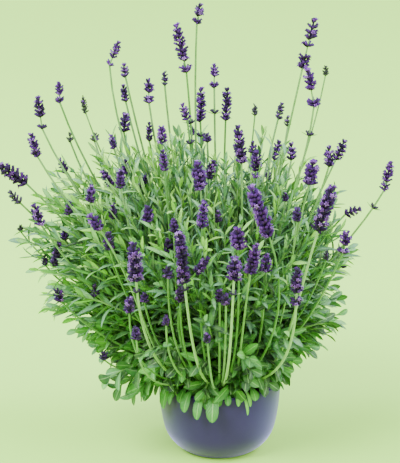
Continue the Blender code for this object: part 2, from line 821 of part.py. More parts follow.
def build_shoot(clump, piece, curves, leaf_size, nodes, droop, space):
    """A leafy shoot as one closed mesh, along the first of the curves that is free, or None."""
    curve = free_stem(clump, piece, curves, SHOOT_RADIUS, space)
    if curve is None:
        return None
    length, width = leaf_size
    reach = (curve[-1] - curve[0]).length
    stem = Stem(curve[0], bezier(curve, START_SHARE) - curve[0], SHOOT_RADIUS, SHOOT_SIDES)
    for number, share in enumerate(nodes):
        radius = SHOOT_RADIUS * (1 - SHOOT_TAPER * share)
        stem.extend(bezier(curve, share), radius)
        faces = stem.extend(bezier(curve, share + NODE_HEIGHT / reach), radius)
        for side, face in enumerate(faces):
            size = 1.0 if side % 2 == number % 2 else AXIL_SHARE
            owner = (CLUMPS[clump], piece)
            grow_leaf(stem, face, owner, space, length * size, width * size, droop)
    stem.close(bezier(curve, 1.0))
    return add_object("shoot", stem.bm)


def shoot_reach(turn, tilt):
    """How far a shoot reaches. The plant is fuller at its left than at its right and in front."""
    tilts, left, right = zip(*SHOOT_REACHES)
    leftness = (1 - math.cos(turn)) / 2
    degrees = math.degrees(tilt)
    reach = interp(degrees, tilts, left) * leftness + interp(degrees, tilts, right) * (1 - leftness)
    return reach * (1 - FRONT_LOSS * max(0, -math.sin(turn)) * math.sin(tilt) ** 2) * MM


def shoot_plan():
    """Every leafy shoot as turn, tilt, reach and leaf size."""
    draw = random.Random(SHOOT_SEED)
    plan = []
    for number in range(SHOOT_COUNT):
        share = (number + 0.5) / SHOOT_COUNT
        low, high = SHOOT_TILTS
        turn = number * GOLDEN_ANGLE
        tilt = low + (high - low) * share
        reach = shoot_reach(turn, tilt) * draw.uniform(*SHOOT_SPREAD)
        length = LEAF_LENGTHS[0] + (LEAF_LENGTHS[1] - LEAF_LENGTHS[0]) * share
        width = LEAF_WIDTHS[0] + (LEAF_WIDTHS[1] - LEAF_WIDTHS[0]) * share
        plan.append((turn, tilt, reach, (length, width)))
    return plan


def clump_shoots(space, first_piece):
    """The leafy shoots of every clump. Their pieces are numbered from first_piece on."""
    shoots = [[] for _ in CLUMPS]
    plan = []
    for direction, reach in RIM_SHOOTS:
        turn = math.radians(direction)
        nodes = RIM_LEAF_NODES if reach < LONG_RIM_SHOOT else LONG_RIM_LEAF_NODES
        plan.append((turn, RIM_SHOOT_TILT, reach * MM, RIM_LEAF, nodes, RIM_LEAF_DROOP))
    for turn, tilt, reach, leaf_size in shoot_plan():
        nodes = LOW_LEAF_NODES if tilt > LEANING_TILT else LEAF_NODES
        plan.append((turn, tilt, reach, leaf_size, nodes, LEAF_DROOP * math.sin(tilt)))
    for piece, (turn, tilt, reach, leaf_size, nodes, droop) in enumerate(plan, first_piece):
        clump = clump_at(turn)
        curves = [shoot_curve(clump, turn + math.radians(nudge), tilt, reach) for nudge in NUDGES]
        shoot = build_shoot(clump, piece, curves, leaf_size, nodes, droop, space)
        if shoot:
            shoots[clump].append(shoot)
        else:
            print("no room for the shoot at", math.degrees(turn), math.degrees(tilt))
    return shoots


def join(name, foot, parts):
    """Joins a clump's stalks and shoots to its foot in one union."""
    holder = bpy.data.collections.new(name + "_parts")
    bpy.context.scene.collection.children.link(holder)
    for part in parts:
        bpy.context.scene.collection.objects.unlink(part)
        holder.objects.link(part)
    union = foot.modifiers.new("Union", "BOOLEAN")
    union.operation = "UNION"
    union.solver = "MANIFOLD"
    union.operand_type = "COLLECTION"
    union.collection = holder
    depsgraph = bpy.context.evaluated_depsgraph_get()
    joined = bpy.data.meshes.new_from_object(foot.evaluated_get(depsgraph))
    foot.modifiers.clear()
    foot.data = joined
    for part in parts:
        bpy.data.objects.remove(part, do_unlink=True)
    bpy.data.collections.remove(holder)


def build_foot(clump, name):
    """The woody foot of a clump, straight in the soil and tapered above it."""
    place = foot_place(clump)
    bm = bmesh.new()
    add_prism(bm, place, FOOT_RADIUS, SOIL_CROWN_HEIGHT - FOOT_DEPTH, SOIL_CROWN_HEIGHT)
    top = max(bm.faces, key=lambda face: face.calc_center_median().z)
    for vert in extruded(bm, top).verts:
        vert.co.z = FOOT_TOP
        vert.co.xy = place.xy + (vert.co.xy - place.xy) * FOOT_TAPER
    return add_object(name, bm)


def build_clumps(space):
    members = [[] for _ in CLUMPS]
    heads = [head_name(number) for number in range(1, len(OPEN_HEADS) + 1)]
    heads += [None] * len(SMALL_HEADS)
    for piece, (row, head) in enumerate(zip(OPEN_HEADS + SMALL_HEADS, heads), 1):
        foot = head_ends(row)[0]
        clump = clump_at(math.atan2(foot.y, foot.x))
        stalk = build_stalk(clump, piece, row, space, head)
        if stalk:
            members[clump].append(stalk)
    for clump, shoots in enumerate(clump_shoots(space, len(heads) + 1)):
        members[clump] += shoots
    for clump, name in enumerate(CLUMPS):
        foot = build_foot(clump, name)
        join(name, foot, members[clump])
        add_material(foot, (0.13, 0.32, 0.06), 0.6)
        print(name, len(members[clump]), "members")


def main():
    clear_scene()
    space = Space()
    for item in (build_pot(), build_grow_pot(), build_soil()):
        space.take_object(item)
    for number, row in enumerate(OPEN_HEADS, 1):
        build_open_head(number, row, space)
    build_clumps(space)


main()
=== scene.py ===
import math
import random

import bmesh
import bpy
from mathutils import Matrix, Quaternion, Vector
from mathutils.bvhtree import BVHTree
from numpy import interp


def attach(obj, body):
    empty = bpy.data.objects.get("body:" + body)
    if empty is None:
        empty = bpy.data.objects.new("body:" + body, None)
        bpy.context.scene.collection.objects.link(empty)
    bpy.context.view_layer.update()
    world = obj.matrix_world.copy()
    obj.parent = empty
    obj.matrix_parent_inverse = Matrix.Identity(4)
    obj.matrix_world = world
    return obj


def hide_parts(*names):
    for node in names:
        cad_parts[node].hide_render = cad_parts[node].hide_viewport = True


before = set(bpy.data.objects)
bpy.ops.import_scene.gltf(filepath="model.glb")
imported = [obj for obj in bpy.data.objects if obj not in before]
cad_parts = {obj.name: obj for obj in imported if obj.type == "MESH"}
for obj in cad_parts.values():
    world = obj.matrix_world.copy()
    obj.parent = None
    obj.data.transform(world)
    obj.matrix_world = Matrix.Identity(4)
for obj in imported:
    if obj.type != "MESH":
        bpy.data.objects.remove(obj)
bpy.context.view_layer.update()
print("frame loaded:", len(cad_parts), "nodes")

mm = 0.001
upward = Vector((0, 0, 1))

# measures shared by the pieces
pot = {
    "radius": 70 * mm,
    "height": 84 * mm,
    "wall": 4.5 * mm,
    "floor": 5 * mm,
    "footRadius": 43 * mm,
    "shoulderRadius": 64 * mm,
    "shoulderHeight": 28 * mm,
    "bottomBulge": 3.5 * mm,
    "sideBulge": 1.7 * mm,
    "recess": 0.6 * mm,  # height of the underside over the ring that it stands on
    "standRing": (5 * mm, 4 * mm, 1 * mm),  # the ring's start and its flat part, inwards from the foot's edge
    "arcSteps": (12, 10, 8),  # of the bottom, the side, and the lip and the inside
    "segments": 128,
}
plant = {
    "clumps": ("back_right", "back", "back_left", "front_left", "front", "front_right"),
    "footRing": 22 * mm,
    "footRadius": 6 * mm,
    "footTop": 88 * mm,
    "viewTilt": math.radians(21),  # the front view that the flower tables are read in looks down by this much
    "headLean": 400,  # in mm; a head leans out by its depth times its length over this
    "rootShare": 0.4,  # how far from a foot's middle stems start, as a share of its radius
    "rootSink": 5 * mm,  # how deep in the foot they start
    "stalkRise": 0.25,  # how much a stalk starts upwards, and ends along its chord
    "chordPull": 2,
    "stalkHandles": (0.34, 0.3),
    "bowDepths": (-30 * mm, -100 * mm),  # a stalk in front bows out low down, and ends along its head
    "bowRise": 0.3,
    "bowHandles": (0.34, 0.5),
    "shootMiddle": 0.45,  # where along its chord a shoot's curve is lifted, and by what share of its reach
    "shootLift": 0.3,
}

# open flower heads, in mm on the front view from the middle of the pot's base:
# across and up of the foot, depth behind the middle, across and up of the tip, width
openHeads = (
    (-126, 437, 40, -115, 464, 9),
    (-108, 424, 70, -110, 440, 9),
    (-108, 396, 90, -111, 416, 9),
    (-183, 394, 30, -184, 418, 9),
    (-203, 364, 0, -208, 401, 11),
    (-208, 332, -30, -216, 359, 11),
    (-110, 361, 40, -108, 383, 12),
    (-26, 484, 30, -22, 507, 10),
    (-38, 429, 10, -50, 484, 12),
    (-81, 394, 70, -82, 422, 11),
    (-6, 412, 90, -6, 439, 9),
    (-22, 373, 60, -21, 412, 11),
    (-37, 374, 0, -43, 393, 9),
    (-66, 347, -30, -66, 367, 10),
    (7, 374, 50, 9, 412, 11),
    (25, 324, -60, 20, 367, 12),
    (41, 308, -30, 42, 339, 11),
    (-63, 316, -70, -65, 339, 9),
    (95, 434, 40, 109, 491, 13),
    (108, 390, 0, 100, 433, 13),
    (63, 329, 60, 69, 352, 10),
    (83, 329, 100, 83, 349, 11),
    (134, 329, 70, 145, 352, 11),
    (125, 321, -30, 125, 344, 11),
    (189, 294, 0, 196, 327, 10),
    (-221, 301, -30, -252, 323, 15),
    (-204, 254, -60, -213, 278, 12),
    (-148, 280, -60, -146, 299, 10),
    (-136, 248, -100, -148, 266, 13),
    (-123, 299, 0, -135, 316, 10),
    (-113, 296, -60, -113, 317, 10),
    (-95, 190, -140, -98, 234, 17),
    (-182, 167, -60, -187, 181, 12),
    (-82, 257, -60, -82, 276, 11),
    (-40, 188, -150, -46, 246, 13),
    (-27, 199, -110, -13, 217, 10),
    (-22, 295, -90, -26, 326, 14),
    (-14, 307, -50, -6, 328, 10),
    (-20, 251, -110, -18, 281, 11),
    (21, 226, -130, 20, 251, 16),
    (16, 192, -170, 17, 217, 18),
    (35, 199, -130, 42, 231, 13),
    (56, 241, -120, 35, 298, 16),
    (102, 300, -60, 107, 328, 15),
    (112, 247, -110, 128, 298, 18),
    (144, 266, -30, 162, 273, 10),
    (141, 223, -70, 145, 247, 13),
    (53, 201, -90, 53, 220, 11),
    (87, 164, -130, 88, 205, 12),
    (-103, 155, -130, -103, 172, 11),
)
# bare stalk within the open heads, by their number: from and to, in mm from the head's foot
bareStretches = {
    1: ((6, 9),),
    4: ((7, 9),),
    5: ((7.5, 14),),
    8: ((7, 9),),
    9: ((8.5, 13.5),),
    10: ((9, 12.5),),
    11: ((7, 12.5),),
    17: ((5, 9),),
    19: ((17, 25.5), (31.5, 34.5)),
    20: ((10, 20.5),),
    25: ((8.5, 11),),
    47: ((6, 10),),
    49: ((10, 16),),
}
# small, unopened and faded heads, in the same measures
smallHeads = (
    (-154, 383, 60, -157, 401, 6),
    (-121, 341, 20, -125, 358, 8),
    (-172, 350, 70, -172, 360, 9),
    (-144, 350, 100, -144, 361, 9),
    (-63, 415, 90, -63, 431, 7),
    (-81, 351, 60, -81, 372, 8),
    (41, 380, 120, 41, 393, 6),
    (-32, 357, 50, -32, 368, 9),
    (-14, 349, 40, -14, 360, 9),
    (38, 337, 20, 38, 350, 9),
    (68, 377, 130, 73, 396, 8),
    (79, 368, 120, 79, 380, 8),
    (122, 426, 90, 122, 437, 5),
    (-176, 315, 30, -184, 330, 9),
    (-229, 279, 20, -242, 293, 10),
    (-173, 266, -20, -172, 280, 9),
    (-122, 261, -40, -122, 277, 9),
    (-108, 313, 50, -108, 330, 9),
    (-126, 226, -70, -127, 246, 12),
    (-178, 237, 0, -178, 249, 9),
    (-229, 246, 40, -229, 254, 5),
    (-190, 207, -20, -184, 234, 10),
    (-201, 208, 10, -201, 219, 7),
    (-143, 172, -40, -143, 186, 10),
    (-92, 296, 60, -80, 316, 8),
    (-52, 245, -90, -52, 261, 10),
    (-59, 223, -60, -59, 238, 11),
    (-59, 193, -110, -59, 207, 11),
    (-2, 257, -60, -2, 270, 8),
    (-45, 166, -110, -45, 184, 10),
    (0, 166, -110, 0, 180, 10),
    (88, 258, -80, 88, 274, 10),
    (75, 281, -40, 75, 291, 6),
    (56, 306, 30, 56, 317, 6),
    (122, 214, -60, 122, 224, 5),
    (-95, 123, -130, -96, 138, 10),
    (-133, 99, -50, -134, 109, 9),
    (-61, 139, -120, -61, 150, 8),
    (-86, 166, -80, -86, 177, 9),
    (-14, 120, -150, -15, 131, 8),
    (7, 163, -130, 7, 175, 10),
    (-120, 235, 110, -126, 256, 11),
    (-75, 270, 120, -80, 294, 12),
    (-30, 285, 150, -33, 311, 12),
    (20, 290, 130, 21, 312, 11),
    (65, 275, 150, 69, 300, 13),
    (105, 250, 110, 111, 270, 11),
    (-150, 190, 90, -160, 208, 11),
    (140, 205, 90, 149, 226, 12),
    (-60, 215, 165, -65, 238, 12),
    (0, 225, 180, 0, 250, 13),
    (60, 210, 175, 65, 232, 12),
    (110, 190, 140, 118, 210, 11),
    (-105, 180, 140, -113, 198, 11),
)


# materials
def fromHex(code):
    # sRGB hex to linear
    values = [int(code[place:place + 2], 16) / 255 for place in (1, 3, 5)]
    return [v / 12.92 if v <= 0.04045 else ((v + 0.055) / 1.055) ** 2.4 for v in values] + [1.0]


def connect(tree, node, sources):
    # sources are sockets, or nodes of which the first output or a mix node's colour is meant
    for name, source in sources.items():
        if isinstance(source, bpy.types.Node):
            source = source.outputs[2 if source.type == "MIX" else 0]
        tree.links.new(source, node.inputs[name])


def addNode(tree, kind, settings=(), links=()):
    # settings are a node's own options by name, then its sockets' values by name or number
    node = tree.nodes.new("ShaderNode" + kind)
    for name, value in dict(settings).items():
        if isinstance(name, str) and hasattr(node, name):
            setattr(node, name, value)
        else:
            node.inputs[name].default_value = fromHex(value) if isinstance(value, str) else value
    connect(tree, node, dict(links))
    return node


def newMaterial(name, values):
    # values that are the same all over, by the names of the shader's sockets
    material = bpy.data.materials.new(name)
    material.use_nodes = True
    tree = material.node_tree
    shader = tree.nodes["Principled BSDF"]
    for socket, value in values.items():
        shader.inputs[socket].default_value = fromHex(value) if isinstance(value, str) else value
    return material, tree, shader


# the narrow leaves higher up are paler and greyer than the broad ones low down
narrowLeaf = {"shade": "#1a2e22", "green": "#5c9470", "young": "#92d648", "rib": "#8cc070"}
broadLeaf = {"shade": "#1a321a", "green": "#438840", "young": "#74c044", "rib": "#a4d486"}
leaf = {
    "ribWidth": 0.07,  # as a share of the blade's width, as is the width of the edges' painted shade
    "ribShare": 0.65,  # how much of the rib's colour shows there
    "veins": (9, 5),  # side veins along a blade, and how far they run forward
    "veinRelief": {"Strength": 0.5, "Distance": 0.3 * mm},
    # the band of painted shade along the blade's edges, and how dark it gets
    "shadedEdgeWidth": 0.2,
    "edgeShadeShare": 0.5,
    "mottle": 6 * mm,  # size of the paler spots
    "mottleShare": 0.25,
    "hair": 1.2 * mm,  # size of the tufts in the felt
    "hairRelief": {"Strength": 0.25, "Distance": 0.2 * mm},
    "surface": {
        "Roughness": 0.46,
        "Specular IOR Level": 0.4,
        "Sheen Weight": 0.08,
        "Sheen Roughness": 0.5,
        "Subsurface Weight": 0.06,
        "Subsurface Radius": (0.4, 1.0, 0.15),
        "Subsurface Scale": 1.5 * mm,
    },
}


def lavenderLeaf(name, colours):
    # lavender leaf: fine felt of hairs over mid green, paler midrib, the young ones yellow-green; the tone
    # also paints shade on inner and low leaves and light on outer and high ones, and the edges get painted
    # shade
    material, tree, shader = newMaterial(name, leaf["surface"])
    tone = addNode(tree, "Attribute", {"attribute_name": "tone"})
    low = addNode(tree, "MapRange", {"From Min": 0.0, "From Max": 0.5}, {"Value": tone.outputs["Fac"]})
    high = addNode(tree, "MapRange", {"From Min": 0.5, "From Max": 1.0}, {"Value": tone.outputs["Fac"]})
    grown = {"data_type": "RGBA", 6: colours["shade"], 7: colours["green"]}
    dark = addNode(tree, "Mix", grown, {0: low})
    young = {"data_type": "RGBA", 7: colours["young"]}
    base = addNode(tree, "Mix", young, {0: high, 6: dark})
    place = addNode(tree, "TexCoord")
    spots = {"Scale": 1 / leaf["mottle"], "Detail": 3.0}
    mottle = addNode(tree, "TexNoise", spots, {"Vector": place.outputs["Object"]})
    spotRange = {"From Min": 0.35, "From Max": 0.7, "To Min": 0.0, "To Max": leaf["mottleShare"]}
    patch = addNode(tree, "MapRange", spotRange, {"Value": mottle})
    mottled = addNode(tree, "Mix", young, {0: patch, 6: base})
    across = addNode(tree, "SeparateXYZ", links={"Vector": place.outputs["UV"]})
    middle = addNode(tree, "Math", {"operation": "SUBTRACT", 1: 0.5}, {0: across.outputs["X"]})
    far = addNode(tree, "Math", {"operation": "ABSOLUTE"}, {0: middle})
    ribRange = {"From Min": 0.0, "From Max": leaf["ribWidth"], "To Min": leaf["ribShare"], "To Max": 0.0}
    rib = addNode(tree, "MapRange", ribRange, {"Value": far})
    pale = {"data_type": "RGBA", 7: colours["rib"]}
    ribbed = addNode(tree, "Mix", pale, {0: rib, 6: mottled})
    # painted shade: the blade darkens towards its edges in the shade colour
    edgeShadeRange = {"From Min": 0.5 - leaf["shadedEdgeWidth"], "From Max": 0.5, "To Max": leaf["edgeShadeShare"]}
    edge = addNode(tree, "MapRange", edgeShadeRange, {"Value": far})
    shade = {"data_type": "RGBA", 7: colours["shade"]}
    edgeShaded = addNode(tree, "Mix", shade, {0: edge, 6: ribbed})
    count, slope = leaf["veins"]
    along = addNode(tree, "Math", {"operation": "MULTIPLY", 1: count * math.tau}, {0: across.outputs["Y"]})
    forward = {"operation": "MULTIPLY_ADD", 1: -slope * math.tau}
    slant = addNode(tree, "Math", forward, {0: far, 2: along})
    veins = addNode(tree, "Math", {"operation": "SINE"}, {0: slant})
    fold = addNode(tree, "Bump", leaf["veinRelief"], {"Height": veins})
    felt = {"Scale": 1 / leaf["hair"], "Detail": 2.0}
    hairs = addNode(tree, "TexNoise", felt, {"Vector": place.outputs["Object"]})
    relief = addNode(tree, "Bump", leaf["hairRelief"], {"Height": hairs, "Normal": fold})
    connect(tree, shader, {"Base Color": edgeShaded, "Normal": relief})
    return material


def lavenderStalk():
    # square green flower stalk: felted, paler in patches
    stalk = {"green": "#3f7a1c", "pale": "#8fb46c", "streak": 9 * mm, "shift": 0.2}
    material, tree, shader = newMaterial("lavender_stalk", {"Roughness": 0.6, "Sheen Weight": 0.2})
    tone = addNode(tree, "Attribute", {"attribute_name": "tone"})
    place = addNode(tree, "TexCoord")
    streaks = {"Scale": 1 / stalk["streak"], "Detail": 3.0}
    noise = addNode(tree, "TexNoise", streaks, {"Vector": place.outputs["Object"]})
    around = {"From Min": 0.3, "From Max": 0.7, "To Min": -stalk["shift"], "To Max": stalk["shift"]}
    shift = addNode(tree, "MapRange", around, {"Value": noise})
    added = {"operation": "ADD", "use_clamp": True}
    share = addNode(tree, "Math", added, {0: tone.outputs["Fac"], 1: shift})
    colours = {"data_type": "RGBA", 6: stalk["green"], 7: stalk["pale"]}
    base = addNode(tree, "Mix", colours, {0: share})
    connect(tree, shader, {"Base Color": base})
    return material


def lavenderBark():
    # woody foot of the plant: grey-brown bark in fine strips
    bark = {"brown": "#4a3a28", "grey": "#8a7a62", "strip": 1.5 * mm, "lengthwise": 0.15}
    material, tree, shader = newMaterial("lavender_bark", {"Roughness": 0.85})
    place = addNode(tree, "TexCoord")
    drawn = {"Scale": (1, 1, bark["lengthwise"])}
    stretch = addNode(tree, "Mapping", drawn, {"Vector": place.outputs["Object"]})
    strips = {"Scale": 1 / bark["strip"], "Detail": 4.0}
    noise = addNode(tree, "TexNoise", strips, {"Vector": stretch})
    colours = {"data_type": "RGBA", 6: bark["brown"], 7: bark["grey"]}
    base = addNode(tree, "Mix", colours, {0: noise})
    relief = addNode(tree, "Bump", {"Strength": 0.8, "Distance": 0.6 * mm}, {"Height": noise})
    connect(tree, shader, {"Base Color": base, "Normal": relief})
    return material


def lavenderCalyx():
    # calyx: ribbed felted tube, dark at its foot and violet at its mouth, green on a bud
    calyx = {
        "foot": "#20142a",
        "green": "#3c4a2c",
        "violet": "#221034",
        "bright": "#56247a",
        "ribs": 13,
        "footShare": 0.55,
        "surface": {
            "Roughness": 0.75,
            "Sheen Weight": 0.08,
            "Sheen Tint": "#b9a8e0",
            "Specular IOR Level": 0.25,
        },
    }
    material, tree, shader = newMaterial("lavender_calyx", calyx["surface"])
    tone = addNode(tree, "Attribute", {"attribute_name": "tone"})
    violets = {"data_type": "RGBA", 6: calyx["violet"], 7: calyx["bright"]}
    violet = addNode(tree, "Mix", violets, {0: tone.outputs["Fac"]})
    age = addNode(tree, "Attribute", {"attribute_name": "budShare"})
    green = {"data_type": "RGBA", 7: calyx["green"]}
    body = addNode(tree, "Mix", green, {0: age.outputs["Fac"], 6: violet})
    place = addNode(tree, "TexCoord")
    split = addNode(tree, "SeparateXYZ", links={"Vector": place.outputs["UV"]})
    footRange = {"From Min": 0.0, "From Max": 0.5, "To Min": calyx["footShare"], "To Max": 0.0}
    foot = addNode(tree, "MapRange", footRange, {"Value": split.outputs["Y"]})
    dull = {"data_type": "RGBA", 7: calyx["foot"]}
    toned = addNode(tree, "Mix", dull, {0: foot, 6: body})
    turns = {"operation": "MULTIPLY", 1: calyx["ribs"] * math.tau}
    wave = addNode(tree, "Math", turns, {0: split.outputs["X"]})
    ribs = addNode(tree, "Math", {"operation": "SINE"}, {0: wave})
    relief = addNode(tree, "Bump", {"Strength": 0.5, "Distance": 0.2 * mm}, {"Height": ribs})
    connect(tree, shader, {"Base Color": toned, "Normal": relief})
    return material


def lavenderPetal():
    # corolla: thin soft petal, violet with a darker throat
    petal = {
        "violet": "#601e82",
        "pale": "#a474c2",
        "throat": "#300e4a",
        "throatShare": 0.8,
        "surface": {
            "Roughness": 0.6,
            "Subsurface Weight": 0.2,
            "Subsurface Radius": (0.6, 0.4, 1.0),
            "Subsurface Scale": 0.8 * mm,
        },
    }
    material, tree, shader = newMaterial("lavender_petal", petal["surface"])
    tone = addNode(tree, "Attribute", {"attribute_name": "tone"})
    colours = {"data_type": "RGBA", 6: petal["violet"], 7: petal["pale"]}
    body = addNode(tree, "Mix", colours, {0: tone.outputs["Fac"]})
    place = addNode(tree, "TexCoord")
    split = addNode(tree, "SeparateXYZ", links={"Vector": place.outputs["UV"]})
    inward = {"From Min": 0.0, "From Max": 0.6, "To Min": petal["throatShare"], "To Max": 0.0}
    throat = addNode(tree, "MapRange", inward, {"Value": split.outputs["Y"]})
    dark = {"data_type": "RGBA", 7: petal["throat"]}
    toned = addNode(tree, "Mix", dark, {0: throat, 6: body})
    connect(tree, shader, {"Base Color": toned})
    return material


def slateGlaze():
    # stoneware glazed slate violet: satin, a little uneven, with a pale violet bloom towards its sides
    glaze = {
        "body": "#30205a",
        "cloud": "#382864",
        "cloudSize": 25 * mm,
        "pitSize": 1.6 * mm,
        "roughness": (0.27, 0.4),
        "surface": {
            "Specular IOR Level": 0.3,
            "Specular Tint": "#b89cff",
            "Coat Weight": 0.1,
            "Coat Roughness": 0.12,
            "Sheen Weight": 1.0,
            "Sheen Roughness": 0.4,
            "Sheen Tint": "#beaaff",
        },
    }
    material, tree, shader = newMaterial("slate_glaze", glaze["surface"])
    place = addNode(tree, "TexCoord")
    clouds = {"Scale": 1 / glaze["cloudSize"], "Detail": 4.0}
    cloud = addNode(tree, "TexNoise", clouds, {"Vector": place.outputs["Object"]})
    colours = {"data_type": "RGBA", 6: glaze["body"], 7: glaze["cloud"]}
    base = addNode(tree, "Mix", colours, {0: cloud})
    small = {"Scale": 1 / glaze["pitSize"], "Detail": 2.0}
    pits = addNode(tree, "TexNoise", small, {"Vector": place.outputs["Object"]})
    smooth, rough = glaze["roughness"]
    gloss = addNode(tree, "MapRange", {"To Min": smooth, "To Max": rough}, {"Value": cloud})
    relief = addNode(tree, "Bump", {"Strength": 0.12, "Distance": 0.1 * mm}, {"Height": pits})
    connect(tree, shader, {"Base Color": base, "Roughness": gloss, "Normal": relief})
    return material


def blackPolypropylene():
    # injection-moulded polypropylene: black, faintly grained, flecked with dust
    plastic = {"black": "#141415", "dust": "#2a2825", "grain": 0.8 * mm}
    material, tree, shader = newMaterial("black_polypropylene", {"Roughness": 0.5})
    place = addNode(tree, "TexCoord")
    fine = {"Scale": 1 / plastic["grain"], "Detail": 3.0}
    grain = addNode(tree, "TexNoise", fine, {"Vector": place.outputs["Object"]})
    colours = {"data_type": "RGBA", 6: plastic["black"], 7: plastic["dust"]}
    base = addNode(tree, "Mix", colours, {0: grain})
    relief = addNode(tree, "Bump", {"Strength": 0.2, "Distance": 0.1 * mm}, {"Height": grain})
    connect(tree, shader, {"Base Color": base, "Normal": relief})
    return material


def pottingPeat():
    # moist peat mix: dark crumbs and lighter fibres
    peat = {"dark": "#1a120b", "brown": "#4a3524", "crumb": 2.2 * mm}
    material, tree, shader = newMaterial("potting_peat", {"Roughness": 0.95})
    place = addNode(tree, "TexCoord")
    coarse = {"Scale": 1 / peat["crumb"], "Detail": 5.0}
    crumbs = addNode(tree, "TexNoise", coarse, {"Vector": place.outputs["Object"]})
    share = addNode(tree, "MapRange", {"From Min": 0.4, "From Max": 0.75}, {"Value": crumbs})
    colours = {"data_type": "RGBA", 6: peat["dark"], 7: peat["brown"]}
    base = addNode(tree, "Mix", colours, {0: share})
    relief = addNode(tree, "Bump", {"Strength": 0.8, "Distance": 1.0 * mm}, {"Height": crumbs})
    connect(tree, shader, {"Base Color": base, "Normal": relief})
    return material


materials = {
    "leaf": lavenderLeaf("lavender_leaf", narrowLeaf),
    "broadLeaf": lavenderLeaf("lavender_broad_leaf", broadLeaf),
    "stalk": lavenderStalk(),
    "bark": lavenderBark(),
    "calyx": lavenderCalyx(),
    "petal": lavenderPetal(),
    "glaze": slateGlaze(),
    "plastic": blackPolypropylene(),
    "peat": pottingPeat(),
}
print("materials made:", len(materials))


# helpers for shapes
def finishPiece(name, bm, nodes, materialNames):
    mesh = bpy.data.meshes.new(name)
    bm.to_mesh(mesh)
    print(name, sum(len(face.verts) - 2 for face in bm.faces), "triangles")
    bm.free()
    for key in materialNames:
        mesh.materials.append(materials[key])
    piece = bpy.data.objects.new(name, mesh)
    bpy.context.scene.collection.objects.link(piece)
    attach(piece, "root")
    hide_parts(*nodes)


def arc(start, end, bulge, steps):
    # points of a circular arc after its start, bulging to the right of the way from start to end
    start, end = Vector(start), Vector(end)
    chord = end - start
    right = Vector((chord.y, -chord.x)).normalized()
    radius = (chord.length_squared / 4 + bulge * bulge) / (2 * bulge)
    centre = (start + end) / 2 + right * (bulge - radius)
    spread = math.asin(chord.length / 2 / radius)
    points = []
    for step in range(1, steps + 1):
        angle = spread * (2 * step / steps - 1)
        out = right * math.cos(angle) + chord.normalized() * math.sin(angle)
        points.append(tuple(centre + out * radius))
    return points


def turned(profile, segments):
    bm = bmesh.new()
    corners = [bm.verts.new((radius, 0, height)) for radius, height in profile]
    edges = [bm.edges.new(pair) for pair in zip(corners, corners[1:])]
    bmesh.ops.spin(
        bm, geom=corners + edges, cent=(0, 0, 0), axis=upward, angle=math.tau, steps=segments, use_merge=True
    )
    bmesh.ops.remove_doubles(bm, verts=bm.verts, dist=0.01 * mm)
    bmesh.ops.recalc_face_normals(bm, faces=bm.faces)
    for face in bm.faces:
        face.smooth = True
    return bm


def extruded(bm, face):
    made = bmesh.ops.extrude_face_region(bm, geom=[face, *face.edges])
    return next(item for item in made["geom"] if isinstance(item, bmesh.types.BMFace))


def bezier(points, share):
    while len(points) > 1:
        points = [first.lerp(second, share) for first, second in zip(points, points[1:])]
    return points[0]


def heading(curve, share):
    return (bezier(curve, min(1, share + 0.01)) - bezier(curve, max(0, share - 0.01))).normalized()


def addStem(target, path, radii, sides, tone, materialNumber=0):
    # a closed stem along a path, extruded stretch by stretch; one with four sides keeps its edges
    bm = bmesh.new()
    toneLayer = bm.verts.layers.float.new("tone")
    made = bmesh.ops.create_circle(bm, cap_ends=True, segments=sides, radius=radii[0])
    way = (path[1] - path[0]).normalized()
    turn = upward.rotation_difference(way)
    for vert in made["verts"]:
        vert.co = path[0] + turn @ vert.co
    cap = next(iter(bm.faces))
    place, radius = path[0], radii[0]
    for step in range(1, len(path)):
        ahead = path[min(step + 1, len(path) - 1)] - path[step - 1]
        turn = way.rotation_difference(ahead.normalized())
        cap = extruded(bm, cap)
        for vert in cap.verts:
            vert.co = path[step] + turn @ (vert.co - place) * (radii[step] / radius)
        place, radius, way = path[step], radii[step], ahead.normalized()
    for vert in bm.verts:
        vert[toneLayer] = tone
    bmesh.ops.recalc_face_normals(bm, faces=bm.faces)
    for face in bm.faces:
        face.smooth = sides > 4
        face.material_index = materialNumber
    mesh = bpy.data.meshes.new("stem")
    bm.to_mesh(mesh)
    bm.free()
    target.from_mesh(mesh)
    bpy.data.meshes.remove(mesh)


def placeCopy(target, template, matrix, tone, budShare=0.0):
    # budShare is how green a calyx is
    copy = template.copy()
    copy.transform(matrix)
    for name, value in (("tone", tone), ("budShare", budShare)):
        if name in copy.attributes:
            copy.attributes[name].data.foreach_set("value", [value] * len(copy.vertices))
    target.from_mesh(copy)
    bpy.data.meshes.remove(copy)


def framed(place, side, along, normal, sizes):
    # a matrix whose X, Y and Z go to side, along and normal, scaled by sizes
    ways = [way.normalized() * size for way, size in zip((side, along, normal), sizes)]
    matrix = Matrix(ways).transposed().to_4x4()
    matrix.translation = place
    return matrix


# pots and soil
growPot = {
    "wall": 1.2 * mm,
    "footRadius": 29 * mm,
    "heelRadius": 38 * mm,
    "heelHeight": 12 * mm,
    "radius": 59 * mm,
    "rimRadius": 62.5 * mm,
    "rimHeight": 81 * mm,
    "rimBand": 3.5 * mm,
    "lipRound": 0.8 * mm,
    "lipBulge": 0.24 * mm,
    "lipSlope": 0.4 * mm,
    "ribAngle": 3.75,  # in degrees, of the shallow ribs round the outside of the rim
    "ribDepth": 0.004,  # as a share of the radius
    "segments": 96,
}
soil = {
    "edge": 71 * mm,
    "crown": 75 * mm,
    "heelRise": 1 * mm,
    "rings": 16,
    "segments": 96,
    "crumb": 1.1 * mm,
    "crumbRange": (-1, 0.4),
    "seed": 21,
}
gap = 0.3 * mm  # between pieces that rest in each other


